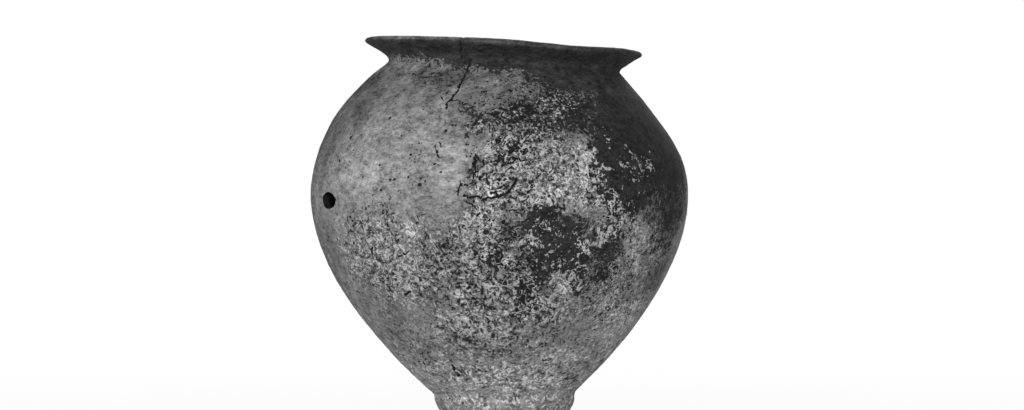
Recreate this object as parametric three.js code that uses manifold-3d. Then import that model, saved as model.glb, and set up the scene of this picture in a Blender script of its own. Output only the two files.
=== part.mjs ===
// Burial urn with a soul hole: a large hand-built jar of smoke-fired clay.
// Millimetres, +Z up. The urn stands on z = 0 and its belly is centred on the z axis.
// The front of the jar faces -Y, with the soul hole on its front left (-X).
//
// The jar is made as a potter makes it: a floor slab, a coil pressed round it for the foot,
// a stack of clay straps, each one lapped onto the last by a bevelled joint, and a collar
// folded out into the lip. The solids are those pieces of clay, a film of slip apart.

import * as THREE from 'three';
import { mergeVertices } from 'three/addons/utils/BufferGeometryUtils.js';
import Module from 'manifold-3d';

// Belly and neck, measured on the outer face
const BELLY_RADIUS = 188.5;
const BELLY_HEIGHT = 222.4;
const NECK_RADIUS = 115.6;
const NECK_HEIGHT = 351;

// Slope of the wall from the vertical where it leaves the floor and where it meets the neck
const FLOOR_SLOPE = 48.5;
const SHOULDER_SLOPE = 46;

// How far each curve of the wall runs on before it turns: the larger, the fuller the body
const FLOOR_PULL = 90.8;
const LOWER_BELLY_PULL = 74;
const UPPER_BELLY_PULL = 50.2;
const SHOULDER_PULL = 54.5;

// Clay thickness
const FLOOR_THICKNESS = 12;
const WALL_AT_FLOOR = 10;
const WALL_AT_NECK = 8.2;

// Floor slab, with an edge that rises outwards, and the foot pressed round it: how much of the
// coil touches the ground, how far its side stands out from the wall and how high it comes
const FLOOR_RADIUS = 57;
const SLAB_BEVEL = 7;
const FOOT_TREAD = 8;
const FOOT_STEP = 1.9;
const FOOT_ROUNDING = 10;
const FOOT_RISE = 10;
const FOOT_SHOULDER = 3.2;
const FOOT_FEATHER = 0.8;

// Collar: the bend at the neck, the flare under the lip, the lip itself and the mouth inside
const NECK_BEND_DROP = 1.2;
const NECK_BEND_WIDTH = 0.3;
const NECK_PULL = 5.5;
const FLARE_RISE = 14.8;
const FLARE_REACH = 19.4;
const FLARE_SLOPE = 28;
const FLARE_PULL = 12;
const LIP_EDGE = 5.7;
const LIP_BULGE = 3.2;
const LIP_ROUNDING = 2.2;
const LIP_TOP_WIDTH = 6;
const LIP_CREST = 1;
const MOUTH_SLOPE = 28;
const MOUTH_PULL = 5.6;
const THROAT_PULL = 10;
const COLLAR_SKIRT = 18;

// Joints between the straps: the bevel's rise along the wall and the film of slip
const BEVEL = 8;
const JOINT_GAP = 0.3;
const LOWER_STRAPS = 5;
const SHOULDER_STRAPS = 3;

// Soul hole, pierced from outside after firing, so that it is wider where it broke out inside
const SOUL_HOLE_WIDTH = 26;
const SOUL_HOLE_HEIGHT = 17.5;
const SOUL_HOLE_INNER_HEIGHT = 25;
const SOUL_HOLE_MARGIN = 6.5;
const SOUL_HOLE_ANGLE = 64.4;
const SOUL_HOLE_DROP = 6;
const SOUL_HOLE_SIDES = 24;
const CUT_MARGIN = 5;

// The jar sagged as it dried: its mouth leans to the right and its axis isn't quite straight
const MOUTH_LEAN = 3;
const LEAN_SPAN = 100;
const FOOT_DRIFT = 4.2;
const FOOT_DRIFT_POWER = 1.5;
const NECK_DRIFT = 4;
const NECK_DRIFT_POWER = 2;

// Smoothness of the solids
const SEGMENTS = 64;
const STRAP_STEPS = 2;
const CURVE_STEPS = 4;
const SEARCH_STEP = 0.001;

const CLAY_GREY = 0x868686;
const SOOT_GREY = 0x3c3c3c;
const CORE_GREY = 0x6e6e6e;

const wasm = await Module();
wasm.setup();

const degrees = THREE.MathUtils.degToRad;
const section = (radius, height) => new THREE.Vector2(radius, height);
const rising = (slope) => section(Math.sin(degrees(slope)), Math.cos(degrees(slope)));

// Outer face of the wall, from the floor slab out to the belly and in again to the neck

function makeWallFace() {
  const floorEdge = section(FLOOR_RADIUS, FLOOR_THICKNESS);
  const belly = section(BELLY_RADIUS, BELLY_HEIGHT);
  const shoulderEnd = section(NECK_RADIUS + NECK_BEND_WIDTH, NECK_HEIGHT - NECK_BEND_DROP);
  const shoulderTurn = 180 - SHOULDER_SLOPE;
  const face = new THREE.CurvePath();
  face.add(new THREE.CubicBezierCurve(
    floorEdge,
    floorEdge.clone().addScaledVector(rising(FLOOR_SLOPE), FLOOR_PULL),
    section(BELLY_RADIUS, BELLY_HEIGHT - LOWER_BELLY_PULL),
    belly,
  ));
  face.add(new THREE.CubicBezierCurve(
    belly,
    section(BELLY_RADIUS, BELLY_HEIGHT + UPPER_BELLY_PULL),
    shoulderEnd.clone().addScaledVector(rising(shoulderTurn), SHOULDER_PULL),
    shoulderEnd,
  ));
  return face;
}

const wallFace = makeWallFace();
const wallLength = wallFace.getLength();

function wallThickness(along) {
  return THREE.MathUtils.lerp(WALL_AT_FLOOR, WALL_AT_NECK, along / wallLength);
}

// A point of the wall: its distance along the outer face, and its depth into the clay
function wallPoint(along, depth) {
  const share = along / wallLength;
  const point = wallFace.getPoint(share);
  const way = wallFace.getTangent(share);
  return section(point.x - way.y * depth, point.y + way.x * depth);
}

const outerPoint = (along) => wallPoint(along, 0);
const innerPoint = (along) => wallPoint(along, wallThickness(along));

function steps(from, to, count) {
  return Array.from({ length: count + 1 }, (_, i) => THREE.MathUtils.lerp(from, to, i / count));
}

// Distance along the outer face at which it reaches a height below the belly
function alongAtHeight(height) {
  let low = 0;
  let high = wallFace.curves[0].getLength();
  while (high - low > SEARCH_STEP) {
    const middle = (low + high) / 2;
    if (outerPoint(middle).y < height) {
      low = middle;
    } else {
      high = middle;
    }
  }
  return low;
}

// Half the slip between two bevelled faces, measured along the wall
function halfJoint(along) {
  const thickness = wallThickness(along);
  return 0.5 * JOINT_GAP * Math.hypot(thickness, BEVEL) / thickness;
}

// Sag of the finished pot

function drift(height) {
  if (height < BELLY_HEIGHT) {
    return FOOT_DRIFT * ((BELLY_HEIGHT - height) / BELLY_HEIGHT) ** FOOT_DRIFT_POWER;
  }
  const share = Math.min(1, (height - BELLY_HEIGHT) / (NECK_HEIGHT - BELLY_HEIGHT));
  return NECK_DRIFT * share ** NECK_DRIFT_POWER;
}

function sag(geometry) {
  const position = geometry.getAttribute('position');
  for (let i = 0; i < position.count; i += 1) {
    const x = position.getX(i);
    const z = position.getZ(i);
    const lean = THREE.MathUtils.smoothstep(z, BELLY_HEIGHT, BELLY_HEIGHT + LEAN_SPAN);
    position.setX(i, x + drift(z));
    position.setZ(i, z - Math.tan(degrees(MOUTH_LEAN)) * lean * x);
  }
}

// Turning a section round the axis, and naming it as a piece

function turn(outline) {
  const geometry = new THREE.LatheGeometry([...outline, outline[0].clone()], SEGMENTS);
  geometry.deleteAttribute('normal');
  geometry.deleteAttribute('uv');
  geometry.rotateX(Math.PI / 2);
  return mergeVertices(geometry);
}

function piece(name, geometry, colour) {
  sag(geometry);
  geometry.computeVertexNormals();
  const material = new THREE.MeshStandardMaterial({ color: colour, roughness: 0.9, metalness: 0 });
  const mesh = new THREE.Mesh(geometry, material);
  mesh.name = name;
  return mesh;
}

// Floor slab

const undersideRadius = FLOOR_RADIUS - SLAB_BEVEL;

function baseDisc() {
  return turn([
    section(0, 0),
    section(undersideRadius, 0),
    section(FLOOR_RADIUS, FLOOR_THICKNESS),
    section(0, FLOOR_THICKNESS),
  ]);
}

// Foot: a coil that fills the angle between the slab's edge and the wall, smeared up the wall

function footRing() {
  const slabGap = JOINT_GAP * Math.hypot(SLAB_BEVEL, FLOOR_THICKNESS) / FLOOR_THICKNESS;
  const sideHeight = FLOOR_THICKNESS + FOOT_RISE;
  const sideRadius = outerPoint(alongAtHeight(sideHeight)).x + FOOT_STEP;
  const top = alongAtHeight(sideHeight + FOOT_SHOULDER);
  const side = new THREE.QuadraticBezierCurve(
    section(undersideRadius + FOOT_TREAD, 0),
    section(sideRadius, FOOT_ROUNDING),
    section(sideRadius, sideHeight),
  );
  const againstWall = steps(top, 0, CURVE_STEPS - 1).map((along) => wallPoint(along, -JOINT_GAP));
  return turn([
    section(undersideRadius + slabGap, 0),
    ...side.getPoints(CURVE_STEPS),
    wallPoint(top, -JOINT_GAP - FOOT_FEATHER),
    ...againstWall,
  ]);
}

// Straps: each is a ring of wall between two bevels that rise towards the inside

function strap(from, to) {
  const low = from + halfJoint(from);
  const high = to - halfJoint(to);
  return turn([
    ...steps(low, high, STRAP_STEPS).map(outerPoint),
    ...steps(high + BEVEL, low + BEVEL, STRAP_STEPS).map(innerPoint),
  ]);
}

// The first strap stands flat on the rim of the floor slab
function firstStrap(to) {
  const seat = FLOOR_THICKNESS + JOINT_GAP;
  const low = alongAtHeight(seat);
  const high = to - halfJoint(to);
  const heel = innerPoint(low);
  const heelRun = (heel.y - seat) * Math.tan(degrees(FLOOR_SLOPE));
  return turn([
    ...steps(low, high, STRAP_STEPS).map(outerPoint),
    ...steps(high + BEVEL, low, STRAP_STEPS).map(innerPoint),
    section(heel.x - heelRun, seat),
  ]);
}

// Collar: the shoulder's last clay, bent up at the neck and folded out into a lip

function collar(from) {
  const low = from + halfJoint(from);
  const flareEnd = section(NECK_RADIUS + FLARE_REACH, NECK_HEIGHT + FLARE_RISE);
  const flareTurn = flareEnd.clone().addScaledVector(rising(90 - FLARE_SLOPE), -FLARE_PULL);
  const lipRadius = flareEnd.x + LIP_BULGE;
  const lipTop = section(lipRadius - LIP_ROUNDING, flareEnd.y + LIP_EDGE);
  const crest = section(lipTop.x - LIP_TOP_WIDTH, lipTop.y + LIP_CREST);
  const mouthTurn = crest.clone().addScaledVector(rising(90 - MOUTH_SLOPE), -MOUTH_PULL);
  const throat = section(NECK_RADIUS - WALL_AT_NECK, NECK_HEIGHT);
  const wallEnd = innerPoint(wallLength);
  const throatTurn = wallEnd.y + (wallEnd.x - throat.x) / Math.tan(degrees(SHOULDER_SLOPE));

  const profile = new THREE.Path();
  profile.moveTo(NECK_RADIUS, NECK_HEIGHT);
  profile.bezierCurveTo(
    NECK_RADIUS, NECK_HEIGHT + NECK_PULL, flareTurn.x, flareTurn.y, flareEnd.x, flareEnd.y,
  );
  // The control point lies twice as far out as the lip, which the curve's middle then reaches
  profile.quadraticCurveTo(
    2 * lipRadius - (flareEnd.x + lipTop.x) / 2, (flareEnd.y + lipTop.y) / 2, lipTop.x, lipTop.y,
  );
  profile.lineTo(crest.x, crest.y);
  profile.bezierCurveTo(
    mouthTurn.x, mouthTurn.y, throat.x, throat.y + THROAT_PULL, throat.x, throat.y,
  );
  profile.quadraticCurveTo(throat.x, throatTurn, wallEnd.x, wallEnd.y);
  return turn([
    ...steps(low, wallLength, STRAP_STEPS).map(outerPoint),
    ...profile.getPoints(CURVE_STEPS),
    innerPoint(low + BEVEL),
  ]);
}

// Soul hole: an oval that widens inwards, cut square to the wall

function toSolid(geometry) {
  const vertProperties = Float32Array.from(geometry.getAttribute('position').array);
  const triVerts = Uint32Array.from(geometry.index.array);
  return new wasm.Manifold(new wasm.Mesh({ numProp: 3, vertProperties, triVerts }));
}

function toGeometry(solid) {
  const { vertProperties, triVerts } = solid.getMesh();
  const geometry = new THREE.BufferGeometry();
  geometry.setAttribute('position', new THREE.BufferAttribute(Float32Array.from(vertProperties), 3));
  geometry.setIndex(new THREE.BufferAttribute(Uint32Array.from(triVerts), 1));
  return geometry;
}

function soulHoleCutter(along) {
  const thickness = wallThickness(along);
  const outerHalf = SOUL_HOLE_HEIGHT / 2;
  const spread = (SOUL_HOLE_INNER_HEIGHT / 2 - outerHalf) / thickness;
  const length = thickness + 2 * CUT_MARGIN;
  const geometry = new THREE.CylinderGeometry(
    outerHalf - spread * CUT_MARGIN,
    outerHalf + spread * (thickness + CUT_MARGIN),
    length,
    SOUL_HOLE_SIDES,
  );
  geometry.deleteAttribute('normal');
  geometry.deleteAttribute('uv');
  geometry.scale(SOUL_HOLE_WIDTH / SOUL_HOLE_HEIGHT, 1, 1);
  geometry.translate(0, CUT_MARGIN - length / 2, 0);
  geometry.rotateX(Math.PI);
  const face = outerPoint(along);
  geometry.translate(0, -face.x, face.y);
  geometry.rotateZ(-degrees(SOUL_HOLE_ANGLE));
  return mergeVertices(geometry);
}

function pierced(geometry, along) {
  const wall = toSolid(geometry);
  const cutter = toSolid(soulHoleCutter(along));
  return toGeometry(wall.subtract(cutter));
}

// The urn, from the ground up

function makeUrn() {
  const urn = new THREE.Group();
  const holeAlong = alongAtHeight(BELLY_HEIGHT - SOUL_HOLE_DROP);
  // The bevel shifts the strap's inner face up, and both of its edges stay clear of the hole
  const bellyLow = holeAlong - SOUL_HOLE_INNER_HEIGHT / 2 - SOUL_HOLE_MARGIN - BEVEL;
  const bellyHigh = holeAlong + SOUL_HOLE_INNER_HEIGHT / 2 + SOUL_HOLE_MARGIN;
  const lowerSeams = steps(0, bellyLow, LOWER_STRAPS);
  const shoulderSeams = steps(bellyHigh, wallLength - COLLAR_SKIRT, SHOULDER_STRAPS);

  urn.add(piece('base_disc', baseDisc(), CORE_GREY));
  urn.add(piece('foot_ring', footRing(), CLAY_GREY));
  urn.add(piece('lower_wall_1', firstStrap(lowerSeams[1]), CLAY_GREY));
  for (let i = 1; i < LOWER_STRAPS; i += 1) {
    urn.add(piece(`lower_wall_${i + 1}`, strap(lowerSeams[i], lowerSeams[i + 1]), CLAY_GREY));
  }
  urn.add(piece('belly_wall', pierced(strap(bellyLow, bellyHigh), holeAlong), CLAY_GREY));
  for (let i = 0; i < SHOULDER_STRAPS; i += 1) {
    const ring = strap(shoulderSeams[i], shoulderSeams[i + 1]);
    urn.add(piece(`shoulder_wall_${i + 1}`, ring, CLAY_GREY));
  }
  urn.add(piece('rim_collar', collar(shoulderSeams[SHOULDER_STRAPS]), SOOT_GREY));
  return urn;
}

export default makeUrn();
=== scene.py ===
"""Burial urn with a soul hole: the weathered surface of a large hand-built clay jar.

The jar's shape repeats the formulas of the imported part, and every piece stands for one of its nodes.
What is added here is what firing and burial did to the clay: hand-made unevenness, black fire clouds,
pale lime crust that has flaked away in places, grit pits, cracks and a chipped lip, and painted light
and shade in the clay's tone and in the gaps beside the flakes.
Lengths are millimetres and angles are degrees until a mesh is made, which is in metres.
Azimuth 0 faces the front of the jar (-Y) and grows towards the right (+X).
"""

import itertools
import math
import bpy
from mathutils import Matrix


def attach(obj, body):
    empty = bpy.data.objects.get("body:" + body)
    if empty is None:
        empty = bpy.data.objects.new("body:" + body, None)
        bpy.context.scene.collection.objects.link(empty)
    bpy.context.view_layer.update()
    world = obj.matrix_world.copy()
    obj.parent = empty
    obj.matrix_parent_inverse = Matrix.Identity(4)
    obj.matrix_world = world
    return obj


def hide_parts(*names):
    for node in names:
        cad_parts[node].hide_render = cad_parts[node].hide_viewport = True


bl_info = {
    "name": "Burial urn surface",
    "version": (1, 0, 0),
    "blender": (4, 5, 0),
    "location": "3D View > Sidebar > Urn",
    "description": "Builds the smoke-fired and weathered clay of a burial urn on its packed frame",
    "category": "Object",
}

import bpy
import numpy as np
from mathutils import Matrix

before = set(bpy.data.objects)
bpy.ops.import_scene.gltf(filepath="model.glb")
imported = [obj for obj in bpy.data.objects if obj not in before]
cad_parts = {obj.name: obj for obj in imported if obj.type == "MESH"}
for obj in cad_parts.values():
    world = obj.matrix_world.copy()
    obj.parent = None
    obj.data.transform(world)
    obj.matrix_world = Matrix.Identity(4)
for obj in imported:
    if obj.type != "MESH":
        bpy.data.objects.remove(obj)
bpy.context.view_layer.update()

METRES = 0.001

# Shape of the wall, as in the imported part
BELLY_RADIUS = 188.5
BELLY_HEIGHT = 222.4
NECK_RADIUS = 115.6
NECK_HEIGHT = 351.0
FLOOR_SLOPE = 48.5
SHOULDER_SLOPE = 46.0
FLOOR_PULL = 90.8
LOWER_BELLY_PULL = 74.0
UPPER_BELLY_PULL = 50.2
SHOULDER_PULL = 54.5
FLOOR_THICKNESS = 12.0
WALL_AT_FLOOR = 10.0
WALL_AT_NECK = 8.2

# Floor slab and foot
FLOOR_RADIUS = 57.0
SLAB_BEVEL = 7.0
FOOT_TREAD = 8.0
FOOT_STEP = 1.9
FOOT_ROUNDING = 10.0
FOOT_RISE = 10.0
FOOT_SHOULDER = 3.2

# Collar
NECK_BEND_DROP = 1.2
NECK_BEND_WIDTH = 0.3
NECK_PULL = 5.5
FLARE_RISE = 14.8
FLARE_REACH = 19.4
FLARE_SLOPE = 28.0
FLARE_PULL = 12.0
LIP_EDGE = 5.7
LIP_BULGE = 3.2
LIP_ROUNDING = 2.2
LIP_TOP_WIDTH = 6.0
LIP_CREST = 1.0
MOUTH_SLOPE = 28.0
MOUTH_PULL = 5.6
THROAT_PULL = 10.0
COLLAR_SKIRT = 18.0

# Joints between the straps
BEVEL = 8.0
JOINT_GAP = 0.3
LOWER_STRAPS = 5
SHOULDER_STRAPS = 3

# Seams are numbered upwards from the one above the lowest strap
COLLAR_SEAM = LOWER_STRAPS + SHOULDER_STRAPS + 1

# Soul hole
SOUL_HOLE_WIDTH = 26.0
SOUL_HOLE_HEIGHT = 17.5
SOUL_HOLE_INNER_HEIGHT = 25.0
SOUL_HOLE_MARGIN = 6.5
SOUL_HOLE_ANGLE = -64.4
SOUL_HOLE_DROP = 6.0

# Sag of the finished pot
MOUTH_LEAN = 3.0
LEAN_SPAN = 100.0
FOOT_DRIFT = 4.2
FOOT_DRIFT_POWER = 1.5
NECK_DRIFT = 4.0
NECK_DRIFT_POWER = 2.0

# Rings of the flat underside, with fewer points near the middle: the radii of the first and the
# last ring, the step between rings, and one point in how many
UNDER_RADIUS = FLOOR_RADIUS - SLAB_BEVEL
MIDDLE_THINNING = 32
UNDERSIDE = (
    (2, 10, 4, MIDDLE_THINNING),
    (13, UNDER_RADIUS - 6, 3, 8),
    (UNDER_RADIUS - 4, UNDER_RADIUS, 2, 1),
)

# Rings inside: the step in the mouth as a share of that outside, rows of the lowest wall and how
# far above the floor they end, and the radii of the innermost rings of the floor
MOUTH_STEP = 1.4
LOW_ROWS = 12
HEEL_CLEARANCE = 2.0
FLOOR_RING = 15.0
FLOOR_MIDDLE = (11.0, 4.0)

# Points down the joint between the foot and the lowest strap
FOOT_JOINT_POINTS = 4

# Where the surface is finer than the part: (azimuth, height, half width, half height, tilt,
# soft edge, lift). The potter's hands left the neck thinner on the left, the flare fuller on the
# right, the rim low on the front right and the foot a little to the right.
SWELLINGS = (
    (-90, 347, 70, 7, 0, 8, -1.3),
    (90, 358, 60, 7, 0, 8, 1.3),
)
RIM_DIP = 1.9
RIM_DIP_AT = 30.0
RIM_DIP_HALF = 30.0
RIM_DIP_FROM = 352.0
RIM_DIP_FULL = 372.0
FOOT_SHIFT = 1.4
FOOT_SHIFT_FROM = 30.0
FOOT_SHIFT_FULL = 20.0

# Chips out of the lip: (azimuth, half width, depth), the share of the width that is fully deep,
# and how far above the lip's lower edge they begin
LIP_CHIPS = ((-17.2, 0.8, 0.4), (59, 1.2, 1.8), (-120, 6, 1.6), (150, 9, 2.2), (100, 3, 1.0))
CHIP_BED = 0.3
CHIP_FROM = 1.0

# Zones of the outer face. Each blotch is (azimuth, height, half width, half height, tilt, soft
# edge, amount). Widths, heights and edges are millimetres on the clay's surface, and the amount
# is the share of the ground there that the zone's finish covers.

# Fire clouds, black where the pot lay in smoking fuel
SOOT = (
    (64, 290, 70, 70, 0, 14, 1.0),
    (66, 226, 50, 40, 0, 14, 0.8),
    (43, 262, 43, 48, 0, 11, 0.96),
    (41, 234, 38, 32, 0, 11, 0.9),
    (34, 302, 40, 24, 0, 14, 0.88),
    (27, 334, 42, 18, -6, 14, 0.88),
    (60, 335, 60, 22, 0, 10, 1.0),
    (16, 312, 30, 16, 0, 14, 0.7),
    (20, 290, 22, 10, 0, 8, 0.7),
    (8, 284, 34, 12, 0, 10, 0.35),
    (1, 156, 9, 9, 0, 6, 0.45),
    (-3, 163, 12, 9, 0, 8, 0.6),
    (13, 145, 10, 12, 0, 8, 0.4),
    (40, 145, 12, 14, 0, 8, 0.35),
    (-10, 298, 12, 10, 0, 8, 0.75),
    (-9, 279, 9, 8, 0, 7, 0.45),
    (6, 301, 16, 12, 0, 9, 0.6),
    (-2, 298, 20, 12, 0, 10, 0.5),
    (-5, 290, 12, 8, 0, 6, 0.7),
    (8, 292, 20, 9, 0, 9, 0.5),
    (8, 276, 30, 14, 0, 14, 0.22),
    (15.5, 203, 17, 8, 0, 6, 0.97),
    (7, 199, 12, 5, 0, 6, 0.7),
    (19, 186, 34, 14, -3, 7, 0.97),
    (19, 168, 30, 16, 0, 8, 0.97),
    (24, 156, 16, 10, 0, 8, 0.66),
    (12, 140, 14, 26, -6, 12, 0.78),
    (8, 114, 12, 18, 8, 10, 0.42),
    (2, 180, 12, 13, 0, 9, 0.72),
    (4, 155, 16, 22, 0, 14, 0.42),
    (36, 176, 13, 26, 5, 7, 0.9),
    (31, 144, 18, 20, 8, 9, 0.7),
    (44, 212, 22, 12, 0, 8, 0.85),
    (58, 202, 34, 16, 0, 12, 0.5),
    (-8, 130, 24, 18, 0, 12, 0.3),
    (-4, 240, 26, 30, 0, 14, 0.22),
    (-34, 334, 40, 6, 0, 8, 0.4),
    (-18, 332, 16, 9, 0, 8, 0.42),
    (-10, 316, 22, 14, 0, 12, 0.18),
    (28, 221, 8, 9, 0, 6, 0.4),
    (10, 200, 13, 8, 0, 6, 0.95),
    (4, 259, 14, 12, 0, 9, 0.75),
    (16, 163, 10, 9, 0, 7, 0.5),
    (20, 161, 12, 9, 0, 6, 0.8),
    (38, 163, 10, 12, 0, 7, 0.6),
    (64, 180, 26, 18, 0, 11, 0.6),
    (-84, 290, 30, 60, 0, 20, 0.3),
    (-82, 170, 24, 50, 0, 16, 0.25),
    (-90, 245, 18, 44, 0, 12, 0.45),
    (52, 40, 9, 7, 20, 5, 0.6),
    (-28, 49, 3, 8, -10, 4, 0.6),
    (100, 300, 90, 60, 0, 30, 0.9),
    (138, 268, 90, 34, -24, 26, 0.9),
    (152, 232, 40, 22, -20, 18, 0.8),
    (176, 206, 34, 50, -34, 20, 0.55),
    (-124, 190, 26, 60, 12, 22, 0.85),
    (-140, 150, 70, 26, 26, 20, 0.8),
    (-106, 130, 40, 20, -12, 16, 0.6),
    (-160, 116, 34, 18, 10, 16, 0.55),
    (140, 96, 30, 44, 22, 24, 0.6),
    (112, 176, 50, 54, 0, 30, 0.6),
    (-112, 322, 90, 14, 4, 14, 0.8),
    (-150, 300, 40, 20, -12, 18, 0.45),
)

# Height down to which soot covers the neck, by azimuth
COLLAR_SOOT = (
    (-180, 346), (-120, 348), (-70, 351), (-40, 350), (-30, 348), (-20, 343), (-10, 342),
    (0, 341), (10, 339), (20, 331), (35, 325), (60, 322), (90, 328), (130, 344), (180, 346),
)

# Pale lime crust, and bare clay where the skin has flaked off
CRUST = (
    (-6, 126, 30, 12, 0, 10, 0.16),
    (26, 142, 9, 14, 10, 7, 0.3),
    (36, 201, 10, 9, 0, 8, 0.25),
    (28, 221, 9, 8, 0, 7, -0.12),
    (10, 246, 56, 40, 0, 12, 0.26),
    (27, 215, 20, 11, 0, 8, 0.22),
    (0, 216, 30, 12, 0, 8, 0.16),
    (-6, 288, 14, 5, 0, 5, 0.1),
    (-8, 282, 9, 5, 0, 4, 0.1),
    (12, 304, 44, 20, 0, 12, 0.09),
    (2, 331, 18, 9, 0, 8, 0.14),
    (28, 318, 26, 10, 0, 10, 0.08),
    (34, 220, 12, 14, 0, 8, 0.14),
    (42, 198, 18, 14, 0, 8, 0.18),
    (50, 180, 20, 12, 0, 9, 0.12),
    (48, 250, 26, 16, 0, 12, 0.09),
    (10, 186, 10, 9, -20, 5, 0.25),
    (34, 183, 11, 8, 0, 7, 0.5),
    (29, 246, 8, 18, 0, 6, 0.35),
    (-3, 203, 14, 8, 0, 6, 0.3),
    (27, 167, 8, 10, 0, 6, 0.4),
    (19, 178, 34, 20, 0, 12, 0.07),
    (-8, 186, 26, 20, 0, 10, 0.22),
    (-3, 164, 24, 12, 0, 9, 0.12),
    (-9, 148, 32, 16, 0, 10, 0.14),
    (3, 138, 20, 12, 0, 9, 0.2),
    (21, 138, 10, 16, 10, 7, 0.25),
    (17, 112, 26, 14, 0, 9, 0.25),
    (27, 108, 34, 7, 12, 6, 0.16),
    (-8, 100, 36, 22, 0, 12, 0.2),
    (-12, 82, 34, 12, 0, 9, 0.2),
    (-38, 160, 66, 44, 0, 20, 0.24),
    (-34, 128, 30, 12, 0, 8, 0.12),
    (6, 43, 52, 15, 0, 10, 0.2),
    (0, 12, 300, 14, 0, 6, 0.2),
    (55, 130, 50, 50, 0, 20, 0.14),
    (0, 100, 170, 90, 0, 30, 0.06),
    (0, 50, 140, 40, 0, 20, 0.07),
    (-152, 240, 60, 40, 20, 30, 0.25),
    (-166, 224, 30, 26, 0, 16, 0.3),
    (172, 160, 60, 40, -16, 30, 0.25),
    (124, 124, 60, 26, -14, 24, 0.25),
    (-100, 150, 50, 50, 0, 24, 0.2),
    (180, 60, 200, 50, 0, 30, 0.12),
)

# Ground broken up into little hollows, dark with dirt and with painted shadow beside the flakes' lips
HOLLOWS = (
    (11, 246, 67, 44, 0, 7, 0.18),
    (-13, 250, 14, 30, 0, 6, -0.14),
    (-1, 222, 34, 14, 0, 9, 0.08),
    (28, 246, 12, 24, 0, 8, -0.08),
    (10, 302, 54, 26, 0, 14, 0.18),
    (-4, 160, 54, 46, 0, 16, 0.17),
    (-38, 165, 60, 46, 0, 18, 0.14),
    (-29, 182, 8, 32, -8, 8, -0.16),
    (-4, 100, 60, 40, 0, 16, 0.14),
    (22, 115, 44, 24, 0, 14, 0.1),
    (40, 200, 34, 24, 0, 12, 0.18),
    (52, 140, 56, 50, 0, 20, 0.1),
    (0, 100, 170, 90, 0, 30, 0.04),
    (0, 50, 140, 40, 0, 20, 0.04),
    (-22, 318, 34, 16, 0, 12, 0.04),
    (-158, 232, 90, 60, 20, 30, 0.14),
    (164, 140, 110, 60, -12, 30, 0.12),
    (-100, 140, 70, 60, 0, 24, 0.09),
    (100, 260, 60, 60, 0, 24, 0.06),
)
HOLLOWS_EVERYWHERE = 0.036

# Places that fired lighter or darker than the rest, and painted light and shade: lighter low down and on
# the lower right as painted light from the floor, darker on the left edge and the shoulder as painted
# shade. Here the amount is how much of the tone
LIGHTER_AND_PAINTED_LIGHT = (
    (-28, 250, 50, 50, 0, 30, 0.08),
    (-29, 182, 9, 34, -8, 8, 0.12),
    (-45, 205, 40, 30, 0, 20, 0.06),
    (-38, 236, 30, 14, 0, 12, 0.22),
    (-19, 316, 12, 9, 0, 7, 0.25),
    (25, 248, 15, 22, 0, 9, 0.4),
    (-50, 248, 30, 24, 0, 16, 0.25),
    (-41, 240, 16, 11, 0, 9, 0.5),
    (-14, 246, 14, 28, 0, 8, 0.34),
    (-3, 221, 20, 9, 0, 6, 0.18),
    (17, 221, 12, 8, 0, 6, 0.42),
    (-4, 203, 16, 8, 0, 6, 0.25),
    (-8, 112, 34, 24, 0, 14, 0.15),
    (48, 163, 16, 16, 0, 12, 0.2),
    (66, 95, 22, 34, 0, 14, 0.5),
    (42, 64, 44, 12, 0, 12, 0.45),
    (2, 34, 120, 30, 0, 24, 0.5),
    (14, 38, 52, 15, 0, 9, 0.2),
    (45, 84, 44, 34, 0, 22, 0.3),
    (-50, 345, 60, 6, 0, 5, 0.16),
)
# Painted shade on the left edge and the shoulder, with places that fired darker
DARKER_AND_PAINTED_SHADE = (
    (-72, 296, 50, 54, 0, 26, 0.45),
    (-55, 298, 20, 14, 0, 12, 0.18),
    (-67, 170, 22, 26, 0, 14, 0.25),
    (67, 141, 22, 15, 0, 12, 0.6),
    (0, 144, 56, 9, 0, 8, 0.14),
    (-17, 168, 18, 16, 0, 12, 0.28),
    (-1, 145, 14, 10, 0, 8, 0.32),
    (31, 85, 18, 16, 0, 12, 0.4),
    (-78, 170, 30, 60, 0, 20, 0.18),
    (-34, 322, 110, 24, 0, 16, 0.22),
    (-24, 334, 60, 9, 0, 8, 0.2),
    (0, 68, 90, 12, 0, 12, 0.1),
    (-50, 110, 50, 40, 0, 20, 0.14),
    (62, 200, 40, 40, 0, 20, 0.15),
)

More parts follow.
